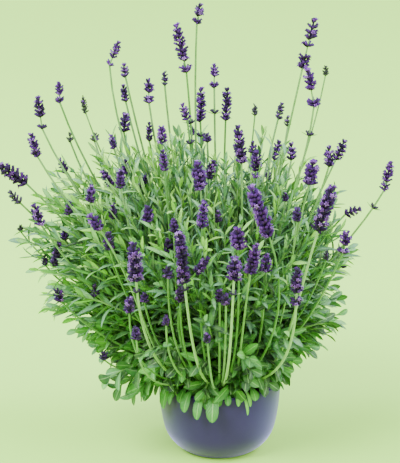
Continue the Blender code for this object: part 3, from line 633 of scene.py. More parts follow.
def buildPot():
    p = pot
    shoulder = (p["shoulderRadius"], p["shoulderHeight"])
    lip = (p["radius"], p["height"] - p["wall"] / 2)
    innerLip = (p["radius"] - p["wall"], p["height"] - p["wall"] / 2)
    innerShoulder = (p["shoulderRadius"] - p["wall"], p["shoulderHeight"])
    innerFoot = (p["footRadius"] - p["wall"] / 2, p["floor"])
    ringStart, flatStart, flatEnd = (p["footRadius"] - inwards for inwards in p["standRing"])
    bottomSteps, sideSteps, innerSteps = p["arcSteps"]
    profile = [(0, p["recess"]), (ringStart, p["recess"]), (flatStart, 0), (flatEnd, 0)]
    profile.append((p["footRadius"], p["recess"]))
    profile += arc(profile[-1], shoulder, p["bottomBulge"], bottomSteps)
    profile += arc(shoulder, lip, p["sideBulge"], sideSteps)
    profile += arc(lip, innerLip, p["wall"] / 2, innerSteps)
    profile += arc(innerLip, innerShoulder, -p["sideBulge"], innerSteps)
    profile += arc(innerShoulder, innerFoot, -p["bottomBulge"], innerSteps)
    profile.append((0, p["floor"]))
    finishPiece("cover_pot", turned(profile, p["segments"]), ["pot"], ["glaze"])


def growPotWall(height, inset):
    g = growPot
    rise = (height - g["heelHeight"]) / (g["rimHeight"] - g["heelHeight"])
    return g["heelRadius"] + (g["radius"] - g["heelRadius"]) * rise - inset


def buildGrowPot():
    g = growPot
    floor = pot["floor"] + gap
    rimDrop = g["rimHeight"] - g["rimBand"]
    profile = [(0, floor), (g["footRadius"], floor)]
    profile += [(growPotWall(g["heelHeight"], 0), g["heelHeight"]), (growPotWall(rimDrop, 0), rimDrop)]
    profile += [(g["rimRadius"] - g["lipRound"] / 2, rimDrop), (g["rimRadius"], rimDrop + g["lipRound"] / 2)]
    profile += [(g["rimRadius"], g["rimHeight"] - g["lipRound"])]
    profile += arc(profile[-1], (g["rimRadius"] - g["lipRound"], g["rimHeight"]), g["lipBulge"], 3)
    profile += [(growPotWall(g["rimHeight"], g["wall"] * 0.6), g["rimHeight"])]
    profile += [(growPotWall(g["rimHeight"], g["wall"]), g["rimHeight"] - g["lipSlope"])]
    profile += [(growPotWall(g["heelHeight"], g["wall"]), g["heelHeight"] + g["wall"] / 2)]
    profile += [(g["footRadius"] - g["wall"] / 2, floor + g["wall"]), (0, floor + g["wall"])]
    bm = turned(profile, g["segments"])
    for vert in bm.verts:
        if vert.co.xy.length > g["rimRadius"] - 0.1 * mm:
            rib = round(math.degrees(math.atan2(vert.co.y, vert.co.x)) / g["ribAngle"]) % 2
            vert.co.xy *= 1 - g["ribDepth"] * rib
    finishPiece("nursery_pot", bm, ["grow_pot"], ["plastic"])


def buildSoil():
    s = soil
    draw = random.Random(s["seed"])
    floor = pot["floor"] + growPot["wall"] + 2 * gap
    inset = growPot["wall"] + 1.5 * gap
    heel = growPot["heelHeight"] + s["heelRise"]
    edge = growPotWall(s["edge"], inset)
    profile = [(0, floor), (growPot["footRadius"] - growPot["wall"], floor), (growPotWall(heel, inset), heel)]
    profile.append((edge, s["edge"]))
    for ring in range(1, s["rings"]):
        share = ring / s["rings"]
        height = s["edge"] + (s["crown"] - s["edge"]) * math.sin(share * math.pi / 2)
        profile.append((edge * (1 - share), height))
    profile.append((0, s["crown"]))
    bm = turned(profile, s["segments"])
    for vert in bm.verts:
        if vert.co.z > s["edge"] + 0.1 * mm:
            vert.co.z += draw.uniform(*s["crumbRange"]) * s["crumb"]
    finishPiece("peat", bm, ["soil"], ["peat"])


buildPot()
buildGrowPot()
buildSoil()
print("pots and soil made")


# the plant's skeleton, the same as in the solids
def viewPoint(across, up, depth):
    height = (up * mm - depth * math.sin(plant["viewTilt"])) / math.cos(plant["viewTilt"])
    return Vector((across * mm, depth, height))


def headEnds(row):
    across, up, depth, tipAcross, tipUp = row[:5]
    length = math.hypot(tipAcross - across, tipUp - up)
    foot = viewPoint(across, up, depth * mm)
    tip = viewPoint(tipAcross, tipUp, depth * (1 + length / plant["headLean"]) * mm)
    return foot, tip


def footPlace(clump):
    turn = math.tau * (clump + 0.5) / len(plant["clumps"])
    return Vector((math.cos(turn), math.sin(turn), 0)) * plant["footRing"]


def clumpAt(turn):
    return int(turn % math.tau / math.tau * len(plant["clumps"]))


def stemRoot(clump, end):
    root = footPlace(clump)
    outward = Vector((end.x, end.y, 0)) - root
    inFoot = outward.normalized() * plant["footRadius"] * plant["rootShare"]
    return root + inFoot + upward * (plant["footTop"] - plant["rootSink"])


def stalkCurve(clump, end, arrival, sway):
    root = stemRoot(clump, end)
    chord = end - root
    way = chord.normalized()
    side = chord.cross(upward).normalized() * sway * mm
    back, front = plant["bowDepths"]
    bow = min(1, max(0, (back - end.y) / (back - front)))
    straightStart = (way + upward * plant["stalkRise"]).normalized()
    bowedStart = (Vector((way.x, way.y, 0)).normalized() + upward * plant["bowRise"]).normalized()
    start = straightStart.lerp(bowedStart, bow).normalized()
    arrive = (arrival + way * plant["chordPull"] * (1 - bow)).normalized()
    firstReach, lastReach = Vector(plant["stalkHandles"]).lerp(Vector(plant["bowHandles"]), bow)
    first = root + start * chord.length * firstReach + side
    second = end - arrive * chord.length * lastReach + side
    return [root, first, second, end]


def shootCurve(clump, turn, tilt, reach):
    outward = Vector((math.cos(turn), math.sin(turn), 0))
    end = (outward * math.sin(tilt) + upward * math.cos(tilt)) * reach + upward * plant["footTop"]
    root = stemRoot(clump, end)
    middle = root.lerp(end, plant["shootMiddle"]) + upward * reach * plant["shootLift"] * math.sin(tilt)
    return [root, middle, end]


def nodeTree(name):
    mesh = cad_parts[name].data
    points = [vert.co.copy() for vert in mesh.vertices]
    return BVHTree.FromPolygons(points, [tuple(face.vertices) for face in mesh.polygons])


clumpTrees = [nodeTree("clump_" + name) for name in plant["clumps"]]
comparedShares = (0.35, 0.5, 0.65, 0.8, 0.95)  # places along a curve that are compared with its solid


def nearestCurve(clump, curves):
    # of several ways that a stem may take, the one that its solid took
    def distance(curve):
        spots = [bezier(curve, share) for share in comparedShares]
        return sum(clumpTrees[clump].find_nearest(spot)[3] for spot in spots)
    return min(curves, key=distance)


# leaves
leafShapes = {
    # half widths at stations along the blade, how far it turns down in degrees, the lift of its edges, and
    # whether it has the broad leaves' green
    "lance": {
        "stations": ((0.0, 0.16), (0.25, 0.78), (0.55, 1.0), (0.84, 0.56)),
        "arch": 20,
        "lift": 0.05,
        "broad": False,
    },
    "lanceIn": {
        "stations": ((0.0, 0.16), (0.25, 0.78), (0.55, 1.0), (0.84, 0.56)),
        "arch": -14,
        "lift": 0.055,
        "broad": False,
    },
    "lanceArched": {
        "stations": ((0.0, 0.16), (0.28, 0.85), (0.58, 1.0), (0.85, 0.52)),
        "arch": 42,
        "lift": 0.045,
        "broad": False,
    },
    "axil": {
        "stations": ((0.0, 0.2), (0.42, 1.0), (0.8, 0.62)),
        "arch": -12,
        "lift": 0.055,
        "broad": False,
    },
    "spoon": {
        "stations": ((0.0, 0.2), (0.2, 0.45), (0.42, 0.86), (0.62, 1.0), (0.82, 0.78), (0.95, 0.36)),
        "arch": 30,
        "lift": 0.065,
        "broad": True,
    },
    "spoonFlat": {
        "stations": ((0.0, 0.2), (0.22, 0.55), (0.45, 0.92), (0.65, 1.0), (0.84, 0.72), (0.95, 0.34)),
        "arch": 10,
        "lift": 0.07,
        "broad": True,
    },
    "overRim": {
        "stations": (
            (0.0, 0.2), (0.2, 0.42), (0.4, 0.72), (0.58, 0.96), (0.72, 1.0), (0.86, 0.82), (0.96, 0.42),
        ),
        "arch": 72,
        "lift": 0.055,
        "broad": True,
    },
}
leafThickness = 0.014  # as a share of the length
leafCrease = math.radians(16)  # edges that turn by more are crisp: the rim and the midrib


def leafTemplate(name, shape):
    # a blade of unit length and half width 1, thin and ridged, extruded from station to station
    bm = bmesh.new()
    bmesh.ops.create_circle(bm, cap_ends=True, segments=4, radius=1)
    uvs = bm.loops.layers.uv.new("UVMap")
    arch = math.radians(shape["arch"])
    cap = next(iter(bm.faces))
    home = {vert: vert.co.copy() for vert in cap.verts}
    share = {}

    def archedPlace(along, rise):
        angle = arch * along
        bend = 1 / arch + rise
        return bend * math.sin(angle), bend * math.cos(angle) - 1 / arch

    def shapeRing(ring, along, half):
        for vert in ring:
            across = round(home[vert].x)
            rise = home[vert].y * leafThickness + (shape["lift"] * half if across else 0)
            vert.co = (across * half, *archedPlace(along, rise))
            share[vert] = (0.5 + 0.5 * across, along)

    shapeRing(cap.verts, *shape["stations"][0])
    for along, half in shape["stations"][1:]:
        before = list(cap.verts)
        cap = extruded(bm, cap)
        for vert in cap.verts:
            home[vert] = home[min(before, key=lambda old: (old.co - vert.co).length)]
        shapeRing(cap.verts, along, half)
    tip = bmesh.ops.poke(bm, faces=[cap])["verts"][0]
    tip.co = (0, *archedPlace(1, 0))
    share[tip] = (0.5, 1.0)
    bmesh.ops.recalc_face_normals(bm, faces=bm.faces)
    for edge in bm.edges:
        edge.smooth = edge.calc_face_angle(0) < leafCrease
    for face in bm.faces:
        face.smooth = True
        face.material_index = int(shape["broad"])
        for loop in face.loops:
            loop[uvs].uv = share[loop.vert]
    mesh = bpy.data.meshes.new("leaf_" + name)
    bm.to_mesh(mesh)
    bm.free()
    mesh.attributes.new("tone", "FLOAT", "POINT")
    return mesh


leafTemplates = {name: leafTemplate(name, shape) for name, shape in leafShapes.items()}


def viewSpot(point):
    # across and up in the front view, and the distance behind the middle along its line of sight
    up = point.z * math.cos(plant["viewTilt"]) + point.y * math.sin(plant["viewTilt"])
    behind = point.y * math.cos(plant["viewTilt"]) - point.z * math.sin(plant["viewTilt"])
    return Vector((point.x, up)), behind


backHeads = 13  # so many of the last small heads stand at the back, behind the leaves
frontHeads = map(headEnds, openHeads + smallHeads[:-backHeads])
headRooms = [(*viewSpot(foot), viewSpot(tip)[0]) for foot, tip in frontHeads]
headClearance = 4.2 * mm
headReach = 3 * headClearance  # points further aside than this from a head's foot and tip aren't looked into


def hidesHead(point):
    # whether a leaf there would stand in front of a flower head, whose florets show between the leaves
    spot, behind = viewSpot(point)
    for foot, headBehind, tip in headRooms:
        if behind < headBehind and abs(spot.x - foot.x) < headReach + abs(tip.x - foot.x):
            along = tip - foot
            share = min(1, max(0, (spot - foot).dot(along) / along.length_squared))
            if (spot - foot - along * share).length < headClearance:
                return True
    return False


leafPose = {
    "facesUp": 0.5,  # how much blades turn their upper side up, and how much they vary in it
    "roll": 0.25,
    "checkedShares": (0.35, 0.85),  # places along a blade that mustn't hide a head
}


def placeLeaf(target, shape, root, along, outward, length, width, droop, open, tone, draw):
    # along is the stem's heading and outward the way out of its side
    lean = (along * math.cos(open) + outward * math.sin(open) - upward * droop).normalized()
    normal = (along - lean * along.dot(lean)).normalized() + upward * leafPose["facesUp"]
    side = Quaternion(lean, draw.gauss(0, leafPose["roll"])) @ lean.cross(normal).normalized()
    if any(hidesHead(root + lean * length * share) for share in leafPose["checkedShares"]):
        return
    matrix = framed(root, side, lean, side.cross(lean), (width / 2, length, length))
    placeCopy(target, leafTemplates[shape], matrix, tone)


shoots = {
    "count": 27,
    "goldenAngle": math.radians(137.508),
    "tilts": (math.radians(3), math.radians(82)),
    "spread": (0.88, 1.06),
    # reach in mm at the left and the right of the plant, by the tilt from upright in degrees
    "reaches": (
        (0, 285, 285),
        (20, 292, 282),
        (32, 290, 252),
        (43, 280, 215),
        (54, 258, 192),
        (66, 200, 150),
        (75, 150, 105),
        (88, 105, 60),
    ),
    # short shoots over the rim: direction in degrees and reach in mm
    "rim": (
        (-161, 138),
        (-145, 76),
        (-128, 74),
        (-111, 74),
        (-95, 75),
        (-78, 74),
        (-58, 74),
        (-35, 75),
        (20, 75),
        (100, 75),
    ),
    "frontLoss": 0.38,  # how much shorter shoots are where they lean out to the front
    "rimTilt": math.radians(82),
    "sprigReach": 100,  # a rim shoot that reaches further, in mm, is the sprig that hangs out at the left
    "moreSprigs": ((-158, 122, 88), (-167, 112, 85), (-149, 112, 90)),  # with their tilt
    # turns in degrees that a shoot may have taken in the solids to stand clear of others
    "nudges": (0, 2.5, -2.5, 5, -5, 7.5, -7.5, 10, -10, 12.5, -12.5, 15, -15),
    "radius": 1.3 * mm,
    "taper": (1.15, 0.55),  # share of the radius at the foot, and how much less at the tip
    "tones": (0.2, 0.5),
    "steps": 7,
    "sides": 5,
    "pitch": 14 * mm,  # from leaf pair to leaf pair
    "seed": 7,
}
fillers = {
    # finer shoots between the main ones, more of them low down, to the sides and most of all to the left
    "count": 450,
    "firstTurn": 1.2,
    "tilts": (math.radians(4), math.radians(77)),
    "crowding": 0.8,
    "sidePull": 0.2,
    "leftPull": 0.2,
    "frontRoom": (0.35, math.radians(42)),  # none stand further to the front and lean further than this
    "spread": (0.72, 1.0),
    "leftStretch": 0.14,  # more for those that lean out to the left
}
tufts = {
    # short broad-leaved shoots low in front, round the feet of the stalks
    "count": 44,
    "turns": (math.radians(-165), math.radians(-15)),
    "tilts": (math.radians(22), math.radians(74)),
    "reaches": (62 * mm, 128 * mm),
}
foliage = {
    # the lowest leaf pair's place on a shoot, the leaves' length and width, how far they open low down and
    # at the tip in degrees, and the fewest steps from pair to pair
    "main": {"start": 0.24, "length": 30 * mm, "width": 4.7 * mm, "opens": (48, 20), "levels": 3},
    "rim": {"start": 0.55, "length": 32 * mm, "width": 9.6 * mm, "opens": (58, 32), "levels": 2},
    "sprig": {"start": 0.45, "length": 34 * mm, "width": 12.5 * mm, "opens": (62, 26), "levels": 3},
    "tuft": {"start": 0.3, "length": 31 * mm, "width": 9.4 * mm, "opens": (58, 30), "levels": 3},
    "leaningWidth": 1.2 * mm,  # more on a shoot that leans out
    "lowTop": 215 * mm,  # leaves are broader and fewer from this height down to the next
    "lowEnd": 115 * mm,
    "lowWidth": 4.2 * mm,
    "lowSkip": 0.4,
    # shares of the length: at a shoot's foot, more in its middle and less at its tip
    "sizes": (0.75, 0.5, 0.3),
    "sizeCurve": (0.95, 0.7),
    "lengthSpread": (0.8, 1.15),
    "widthSpread": (0.8, 1.1),
    "turnSpread": 0.15,
    "openSpread": 0.14,
    "droop": 0.15,
    # small leaves between a leaf and its shoot, as shares of that leaf, and how they stand
    "axilLength": (0.4, 0.6),
    "axilWidth": 0.55,
    "axilOpen": 0.6,
    "axilTurn": 0.6,
    "axilDroop": 0.05,
    "axilTone": 0.12,
    # at a shoot's foot, more at its tip, with the square of the height, and with the reach from the middle:
    # low and inner leaves stay dark as painted shade, outer ones brighten as painted light, and the top is
    # brighter partly from young growth and partly as painted light
    "tones": (0.0, 0.18, 0.36, 0.22),
    "toneHeight": 300 * mm,
    "toneReach": 200 * mm,
    "shootSpread": 0.15,  # of the tone, from shoot to shoot and from leaf to leaf
    "leafSpread": 0.21,
    "lowShade": 0.12,  # how much darker the broad leaves of rim shoots, sprigs and tufts are
    "seed": 11,
}


def shootReach(turn, tilt):
    # the plant is fuller at its left than at its right and in front
    tilts, left, right = zip(*shoots["reaches"])
    leftness = (1 - math.cos(turn)) / 2
    degrees = math.degrees(tilt)
    reach = interp(degrees, tilts, left) * leftness + interp(degrees, tilts, right) * (1 - leftness)
    return reach * (1 - shoots["frontLoss"] * max(0, -math.sin(turn)) * math.sin(tilt) ** 2) * mm


def shootPlan(count, firstTurn, tilts, spread, draw, crowding=1, sidePull=0, leftPull=0, leftStretch=0):
    # crowding under 1 puts more of the shoots low down, and the pulls more to both sides and to the left
    plan = []
    for number in range(count):
        share = (number + 0.5) / count
        low, high = tilts
        turn = firstTurn + number * shoots["goldenAngle"]
        turn += leftPull * math.sin(turn) - sidePull * math.sin(2 * turn)
        tilt = low + (high - low) * share ** crowding
        stretch = draw.uniform(*spread) + leftStretch * max(0, -math.cos(turn)) * math.sin(tilt)
        plan.append((turn, tilt, shootReach(turn, tilt) * stretch))
    return plan


def leafTone(root, share, shootTone, draw):
    # leaves are darker inside and low down as painted shade, brighter outwards as painted light, and young
    # and bright at the tips and the top, the top's brightness partly painted light
    foot, tip, height, reach = foliage["tones"]
    tone = foot + tip * share + height * (root.z / foliage["toneHeight"]) ** 2
    tone += reach * root.xy.length / foliage["toneReach"]
    return min(1, max(0, tone + shootTone + draw.gauss(0, foliage["leafSpread"])))


def growShoot(leaves, stems, curve, kind, draw):
    style = foliage[kind]
    fine = kind == "main"
    steps = shoots["steps"]
    path = [bezier(curve, step / steps) for step in range(steps + 1)]
    reach = sum((after - before).length for before, after in zip(path, path[1:]))
    thick, thinner = shoots["taper"]
    radii = [shoots["radius"] * (thick - thinner * step / steps) for step in range(steps + 1)]
    addStem(stems, path, radii, shoots["sides"], draw.uniform(*shoots["tones"]))
    start = style["start"]
    count = max(style["levels"], round(reach * (1 - start) / shoots["pitch"]))
    phase = draw.uniform(0, math.tau)
    shootTone = draw.gauss(0, foliage["shootSpread"]) - (0 if fine else foliage["lowShade"])
    footSize, middleSize, tipLoss = foliage["sizes"]
    middleShift, middlePower = foliage["sizeCurve"]
    openLow, openHigh = style["opens"]
    for number in range(count + 1):
        share = start + (1 - start) * number / count
        ahead = heading(curve, share)
        root = bezier(curve, share)
        first = ahead.orthogonal().normalized()
        young = share ** 2
        open = math.radians(openLow + (openHigh - openLow) * young)
        middle = math.sin(math.pi * share * middleShift) ** middlePower
        size = footSize + middleSize * middle - tipLoss * young
        leaning = math.sqrt(max(0, 1 - ahead.z ** 2))
        lowness = min(1, max(0, (foliage["lowTop"] - root.z) / (foliage["lowTop"] - foliage["lowEnd"])))
        shapes = ("lance", "lanceIn", "lanceArched") if fine and lowness < 0.5 else ("spoon", "spoonFlat")
        for half in range(2):
            angle = phase + number * math.pi / 2 + half * math.pi + draw.gauss(0, foliage["turnSpread"])
            outward = Quaternion(ahead, angle) @ first
            length = style["length"] * size * draw.uniform(*foliage["lengthSpread"])
            width = style["width"] + foliage["leaningWidth"] * leaning
            if fine:
                width += foliage["lowWidth"] * lowness
                if draw.random() < foliage["lowSkip"] * lowness:
                    continue
            width *= draw.uniform(*foliage["widthSpread"])
            tone = leafTone(root, share, shootTone, draw)
            spread = open + draw.gauss(0, foliage["openSpread"])
            shape = draw.choice(shapes)
            droop = foliage["droop"] * leaning
            placeLeaf(leaves, shape, root, ahead, outward, length, width, droop, spread, tone, draw)
            if fine and number < count and draw.random() > lowness:
                turn = Quaternion(ahead, draw.uniform(-foliage["axilTurn"], foliage["axilTurn"])) @ outward
                small = length * draw.uniform(*foliage["axilLength"])
                narrow = width * foliage["axilWidth"]
                placeLeaf(
                    leaves, "axil", root, ahead, turn, small, narrow, foliage["axilDroop"],
                    spread * foliage["axilOpen"], min(1, tone + foliage["axilTone"]), draw,
                )


hanging = {
    # leaves that hang over the front of the rim: in mm across and up of the tip in the front view and width,
    # and tone
    "leaves": (
        (-60, 44, 8, 0.45),
        (-41, 36, 12, 0.5),
        (-25, 28, 11, 0.5),
        (-8, 25, 15, 0.45),
        (11, 45, 8, 0.5),
        (32, 33, 4, 0.95),
        (24, 44, 6, 0.9),
        (38, 43, 5, 0.95),
        (29, 52, 7, 0.85),
        (47, 50, 12, 0.6),
        (-50, 47, 11, 0.42),
        (-1, 44, 9, 0.4),
        (-16, 40, 10, 0.45),
    ),
    "rootRadius": 60 * mm,
    "rootHeight": 91.5 * mm,
    "tipRadius": 82 * mm,
    "dip": math.radians(12),  # how far they start downwards
    "shortest": 18 * mm,
    "slack": 1.1,  # length over the height that they hang down
}


def hangLeaves(target):
    for across, up, width, tone in hanging["leaves"]:
        turn = math.asin(across * mm / hanging["tipRadius"]) - math.pi / 2
        outward = Vector((math.cos(turn), math.sin(turn), 0))
        root = outward * hanging["rootRadius"] + upward * hanging["rootHeight"]
        rootUp = viewSpot(root)[0].y
        length = max(hanging["shortest"], hanging["slack"] * (rootUp - up * mm))
        lean = outward * math.cos(hanging["dip"]) - upward * math.sin(hanging["dip"])
        side = lean.cross(upward).normalized()
        matrix = framed(root, side, lean, side.cross(lean), (width * mm / 2, length, length))
        placeCopy(target, leafTemplates["overRim"], matrix, tone)


def growFoliage():
    leaves = [bmesh.new() for _ in plant["clumps"]]
    stems = [bmesh.new() for _ in plant["clumps"]]
    draw = random.Random(foliage["seed"])
    rim = [(math.radians(direction), shoots["rimTilt"], reach * mm) for direction, reach in shoots["rim"]]
    mainDraw = random.Random(shoots["seed"])
    main = shootPlan(shoots["count"], 0, shoots["tilts"], shoots["spread"], mainDraw)
    sprigs = [row for row in rim if row[2] > shoots["sprigReach"] * mm]
    rim = [row for row in rim if row not in sprigs]
    for kind, plan in (("sprig", sprigs), ("rim", rim), ("main", main)):
        for turn, tilt, reach in plan:
            clump = clumpAt(turn)
            ways = [turn + math.radians(nudge) for nudge in shoots["nudges"]]
            curves = [shootCurve(clump, way, tilt, reach) for way in ways]
            growShoot(leaves[clump], stems[clump], nearestCurve(clump, curves), kind, draw)
    hangLeaves(leaves[plant["clumps"].index("front")])
    for direction, reach, tilt in shoots["moreSprigs"]:
        turn = math.radians(direction)
        curve = shootCurve(clumpAt(turn), turn, math.radians(tilt), reach * mm)
        growShoot(leaves[clumpAt(turn)], stems[clumpAt(turn)], curve, "sprig", draw)
    f = fillers
    plan = shootPlan(
        f["count"], f["firstTurn"], f["tilts"], f["spread"], draw,
        f["crowding"], f["sidePull"], f["leftPull"], f["leftStretch"],
    )
    mostForward, mostTilt = f["frontRoom"]
    for turn, tilt, reach in plan:
        clump = clumpAt(turn)
        if -math.sin(turn) < mostForward or tilt < mostTilt:
            growShoot(leaves[clump], stems[clump], shootCurve(clump, turn, tilt, reach), "main", draw)
    for _ in range(tufts["count"]):
        turn = draw.uniform(*tufts["turns"])
        tilt, reach = draw.uniform(*tufts["tilts"]), draw.uniform(*tufts["reaches"])
        curve = shootCurve(clumpAt(turn), turn, tilt, reach)
        growShoot(leaves[clumpAt(turn)], stems[clumpAt(turn)], curve, "tuft", draw)
    return leaves, stems


leafMeshes, stemMeshes = growFoliage()
print("leaves placed:", sum(len(bm.faces) for bm in leafMeshes), "faces")


# flower heads
florets = {
    "length": 6.6 * mm,
    "radius": 1.3 * mm,
    "pitch": 4.9 * mm,
    "around": 8,
    "openShare": 0.4,
    "budOpenShare": 0.12,
    "core": 1.3 * mm,
    "coreEnd": 2.5 * mm,  # how far under the top of a head its core ends
    "coreRings": ((0.0, 0.8), (0.3, 1.0), (0.7, 0.9), (1.0, 0.3)),  # place along the core, and width
    "opens": (50, 56, 22),  # degrees: how far florets lean out, in a whorl that stands apart, and at the tip
    "fullWidth": 10.8 * mm,  # of a head whose florets have the length above
    "sizes": (0.62, 1.4),
    "rise": 0.75,  # how far a floret's mouth stands over its foot, as a share of its length
    "taper": (1.04, 0.34),  # size at a head's foot, and how much less at its tip
    "apartSize": 0.95,
    "tipAround": 5,
    "levelTurn": 0.6,  # from whorl to whorl
    "freshness": (0.1, 0.7),  # range of the heads' tone
    "lengths": (0.85, 1.12),
    "turnSpread": 0.14,
    "riseSpread": 0.6 * mm,
    "leanSpread": 0.12,
    "toneSpread": 0.25,
    "petalSizes": (0.9, 1.25),
    "petalPlace": 0.86,  # along the calyx
    "seed": 5,
}
calyxTube = {
    "sides": 5,
    "foot": 0.5,
    "rings": ((0.42, 1.0), (1.0, 0.82)),  # place along the calyx and width, after its narrow foot
    "throat": 0.85,
}
corolla = {
    "lobes": 5,
    "foot": 0.6,
    "flare": 1.3,
    "mouth": 0.5,
    "throat": 0.2,
    "reach": 1.6,
    "upperReach": 2.0,
    "tipHeight": 0.6,
}
# how green the small heads are, by their number
plainGreen = 0.12
greenShares = {51: 0.7, 53: 0.85, 54: 0.85, 57: 0.7, 61: 0.4, 62: 0.7, 63: 0.8, 65: 0.5, 71: 0.6, 85: 0.5}


def closedTemplate(name, bm, uvs, place, attributes):
    # place gives a vertex its place in the pattern
    bmesh.ops.recalc_face_normals(bm, faces=bm.faces)
    for face in bm.faces:
        face.smooth = True
        for loop in face.loops:
            loop[uvs].uv = place(loop.vert)
    mesh = bpy.data.meshes.new(name)
    bm.to_mesh(mesh)
    bm.free()
    for attribute in attributes:
        mesh.attributes.new(attribute, "FLOAT", "POINT")
    return mesh


def calyxTemplate():
    # a slender tube of unit length and radius with a hollow mouth
    bm = bmesh.new()
    bmesh.ops.create_circle(bm, cap_ends=True, segments=calyxTube["sides"], radius=calyxTube["foot"])
    uvs = bm.loops.layers.uv.new("UVMap")
    cap = next(iter(bm.faces))
    for along, radius in calyxTube["rings"]:
        ratio = radius / max(vert.co.xy.length for vert in cap.verts)
        cap = extruded(bm, cap)
        for vert in cap.verts:
            vert.co.xy *= ratio
            vert.co.z = along
    mouth = bmesh.ops.poke(bm, faces=[cap])["verts"][0]
    mouth.co.z = calyxTube["throat"]

    def place(vert):
        return math.atan2(vert.co.y, vert.co.x) / math.tau, vert.co.z

    return closedTemplate("calyx", bm, uvs, place, ("tone", "budShare"))


def corollaTemplate():
    # five pointed lobes drawn out of a short tube, the two upper ones longer
    bm = bmesh.new()
    bmesh.ops.create_circle(bm, cap_ends=True, segments=corolla["lobes"], radius=corolla["foot"])
    uvs = bm.loops.layers.uv.new("UVMap")
    cap = extruded(bm, next(iter(bm.faces)))
    for vert in cap.verts:
        vert.co.xy *= corolla["flare"]
        vert.co.z = corolla["mouth"]
    lobes = [face for edge in cap.edges for face in edge.link_faces if face is not cap]
    throat = bmesh.ops.poke(bm, faces=[cap])["verts"][0]
    throat.co.z = corolla["throat"]
    for number, face in enumerate(lobes):
        outward = face.calc_center_median()
        outward.z = 0
        reach = corolla["upperReach"] if number in (1, 2) else corolla["reach"]
        tip = bmesh.ops.poke(bm, faces=[face])["verts"][0]
        tip.co = outward.normalized() * reach + upward * corolla["tipHeight"]
    for face in bm.faces:
        face.material_index = 1

    def place(vert):
        return 0.5, min(1, vert.co.xy.length / corolla["reach"])

    return closedTemplate("corolla", bm, uvs, place, ("tone",))


calyxMesh = calyxTemplate()
corollaMesh = corollaTemplate()


def placeFloret(target, root, axis, outward, length, radius, open, withPetals, tone, budShare, draw):
    lean = (axis * math.cos(open) + outward * math.sin(open)).normalized()
    side = lean.cross(axis).normalized()
    normal = side.cross(lean)
    placeCopy(target, calyxMesh, framed(root, side, normal, lean, (radius, radius, length)), tone, budShare)
    if withPetals:
        spread = radius * draw.uniform(*florets["petalSizes"])
        mouth = root + lean * length * florets["petalPlace"]
        matrix = framed(mouth, side, normal, lean, (spread, spread, spread))
        placeCopy(target, corollaMesh, matrix, draw.random() ** 2)


def headWhorls(length, size, bare):
    # distance from the head's foot, size, number of florets and opening of each whorl
    rise = florets["length"] * size * florets["rise"]
    close, apart, tip = florets["opens"]
    most, loss = florets["taper"]
    whorls = []
    start = 0.0
    for low, high in (*bare, (length / mm, None)):
        room = max(0, low * mm - start - rise)
        last = high is None
        count = round(room / (florets["pitch"] * size)) + 1
        for number in range(count):
            share = number / max(1, count - 1)
            full = most - loss * share ** 3 if last and count > 1 else florets["apartSize"]
            top = last and number == count - 1
            open = tip if top else close if last else apart
            around = florets["tipAround"] if top else florets["around"]
            whorls.append((start + room * share, full, around, open))
        if not last:
            start = high * mm
    return whorls


def addShadedCore(target, foot, axis, low, high, radius):
    # dark inside of a head, where calyces stand close; its dark colour is painted shade
    path = [foot + axis * (low + (high - low) * share) for share, _ in florets["coreRings"]]
    addStem(target, path, [radius * share for _, share in florets["coreRings"]], 5, 0.0)


def growHead(target, row, bare, openShare, budShare, draw):
    foot, tip = headEnds(row)
    axis = (tip - foot).normalized()
    length = (tip - foot).length
    low, high = florets["sizes"]
    size = min(high, max(low, row[5] * mm / florets["fullWidth"]))
    first = axis.orthogonal().normalized()
    phase = draw.uniform(0, math.tau)
    freshness = draw.uniform(*florets["freshness"])
    start = 0.0
    for end, after in (*bare, (length / mm, 0)):
        # the core's dark colour is painted shade between the florets
        addShadedCore(target, foot, axis, start, end * mm - florets["coreEnd"] * size, florets["core"] * size)
        start = after * mm
    for level, (distance, full, around, open) in enumerate(headWhorls(length, size, bare)):
        for number in range(around):
            angle = phase + level * florets["levelTurn"] + math.tau * number / around
            outward = Quaternion(axis, angle + draw.gauss(0, florets["turnSpread"])) @ first
            root = foot + axis * (distance + draw.gauss(0, florets["riseSpread"]))
            root += outward * florets["core"] / 2 * size
            calyxLength = florets["length"] * size * full * draw.uniform(*florets["lengths"])
            lean = math.radians(open) + draw.gauss(0, florets["leanSpread"])
            tone = min(1, max(0, freshness + draw.gauss(0, florets["toneSpread"])))
            petals = draw.random() < openShare
            radius = florets["radius"] * size
            placeFloret(target, root, axis, outward, calyxLength, radius, lean, petals, tone, budShare, draw)


lowWhorl = {
    # a few dark calyces on the bare stalk under a head, over two pale bracts
    "around": 8,
    "turnSpread": 0.2,
    "lengths": (0.75, 1.05),
    "open": math.radians(54),
    "tone": 0.1,
    "green": 0.25,
    # the bracts' length, width, droop, opening and tone
    "bracts": (11 * mm, 2.6 * mm, 0.05, math.radians(72), 0.85),
}


def placePair(target, shape, root, along, sizes, draw):
    # two leaves on opposite sides of a stalk, seen from the front; sizes end with the droop, opening and tone
    across = along.cross(Vector((0, 1, 0))).normalized()
    for side in (-1, 1):
        placeLeaf(target, shape, root, along, across * side, *sizes, draw)


def growWhorl(target, leaves, place, axis, draw):
    w = lowWhorl
    first = axis.orthogonal().normalized()
    phase = draw.uniform(0, math.tau)
    for number in range(w["around"]):
        angle = phase + math.tau * number / w["around"] + draw.gauss(0, w["turnSpread"])
        outward = Quaternion(axis, angle) @ first
        length = florets["length"] * draw.uniform(*w["lengths"])
        open = w["open"] + draw.gauss(0, florets["leanSpread"])
        placeFloret(
            target, place, axis, outward, length, florets["radius"], open, False, w["tone"], w["green"], draw
        )
    placePair(leaves, "axil", place - axis * mm, axis, w["bracts"], draw)


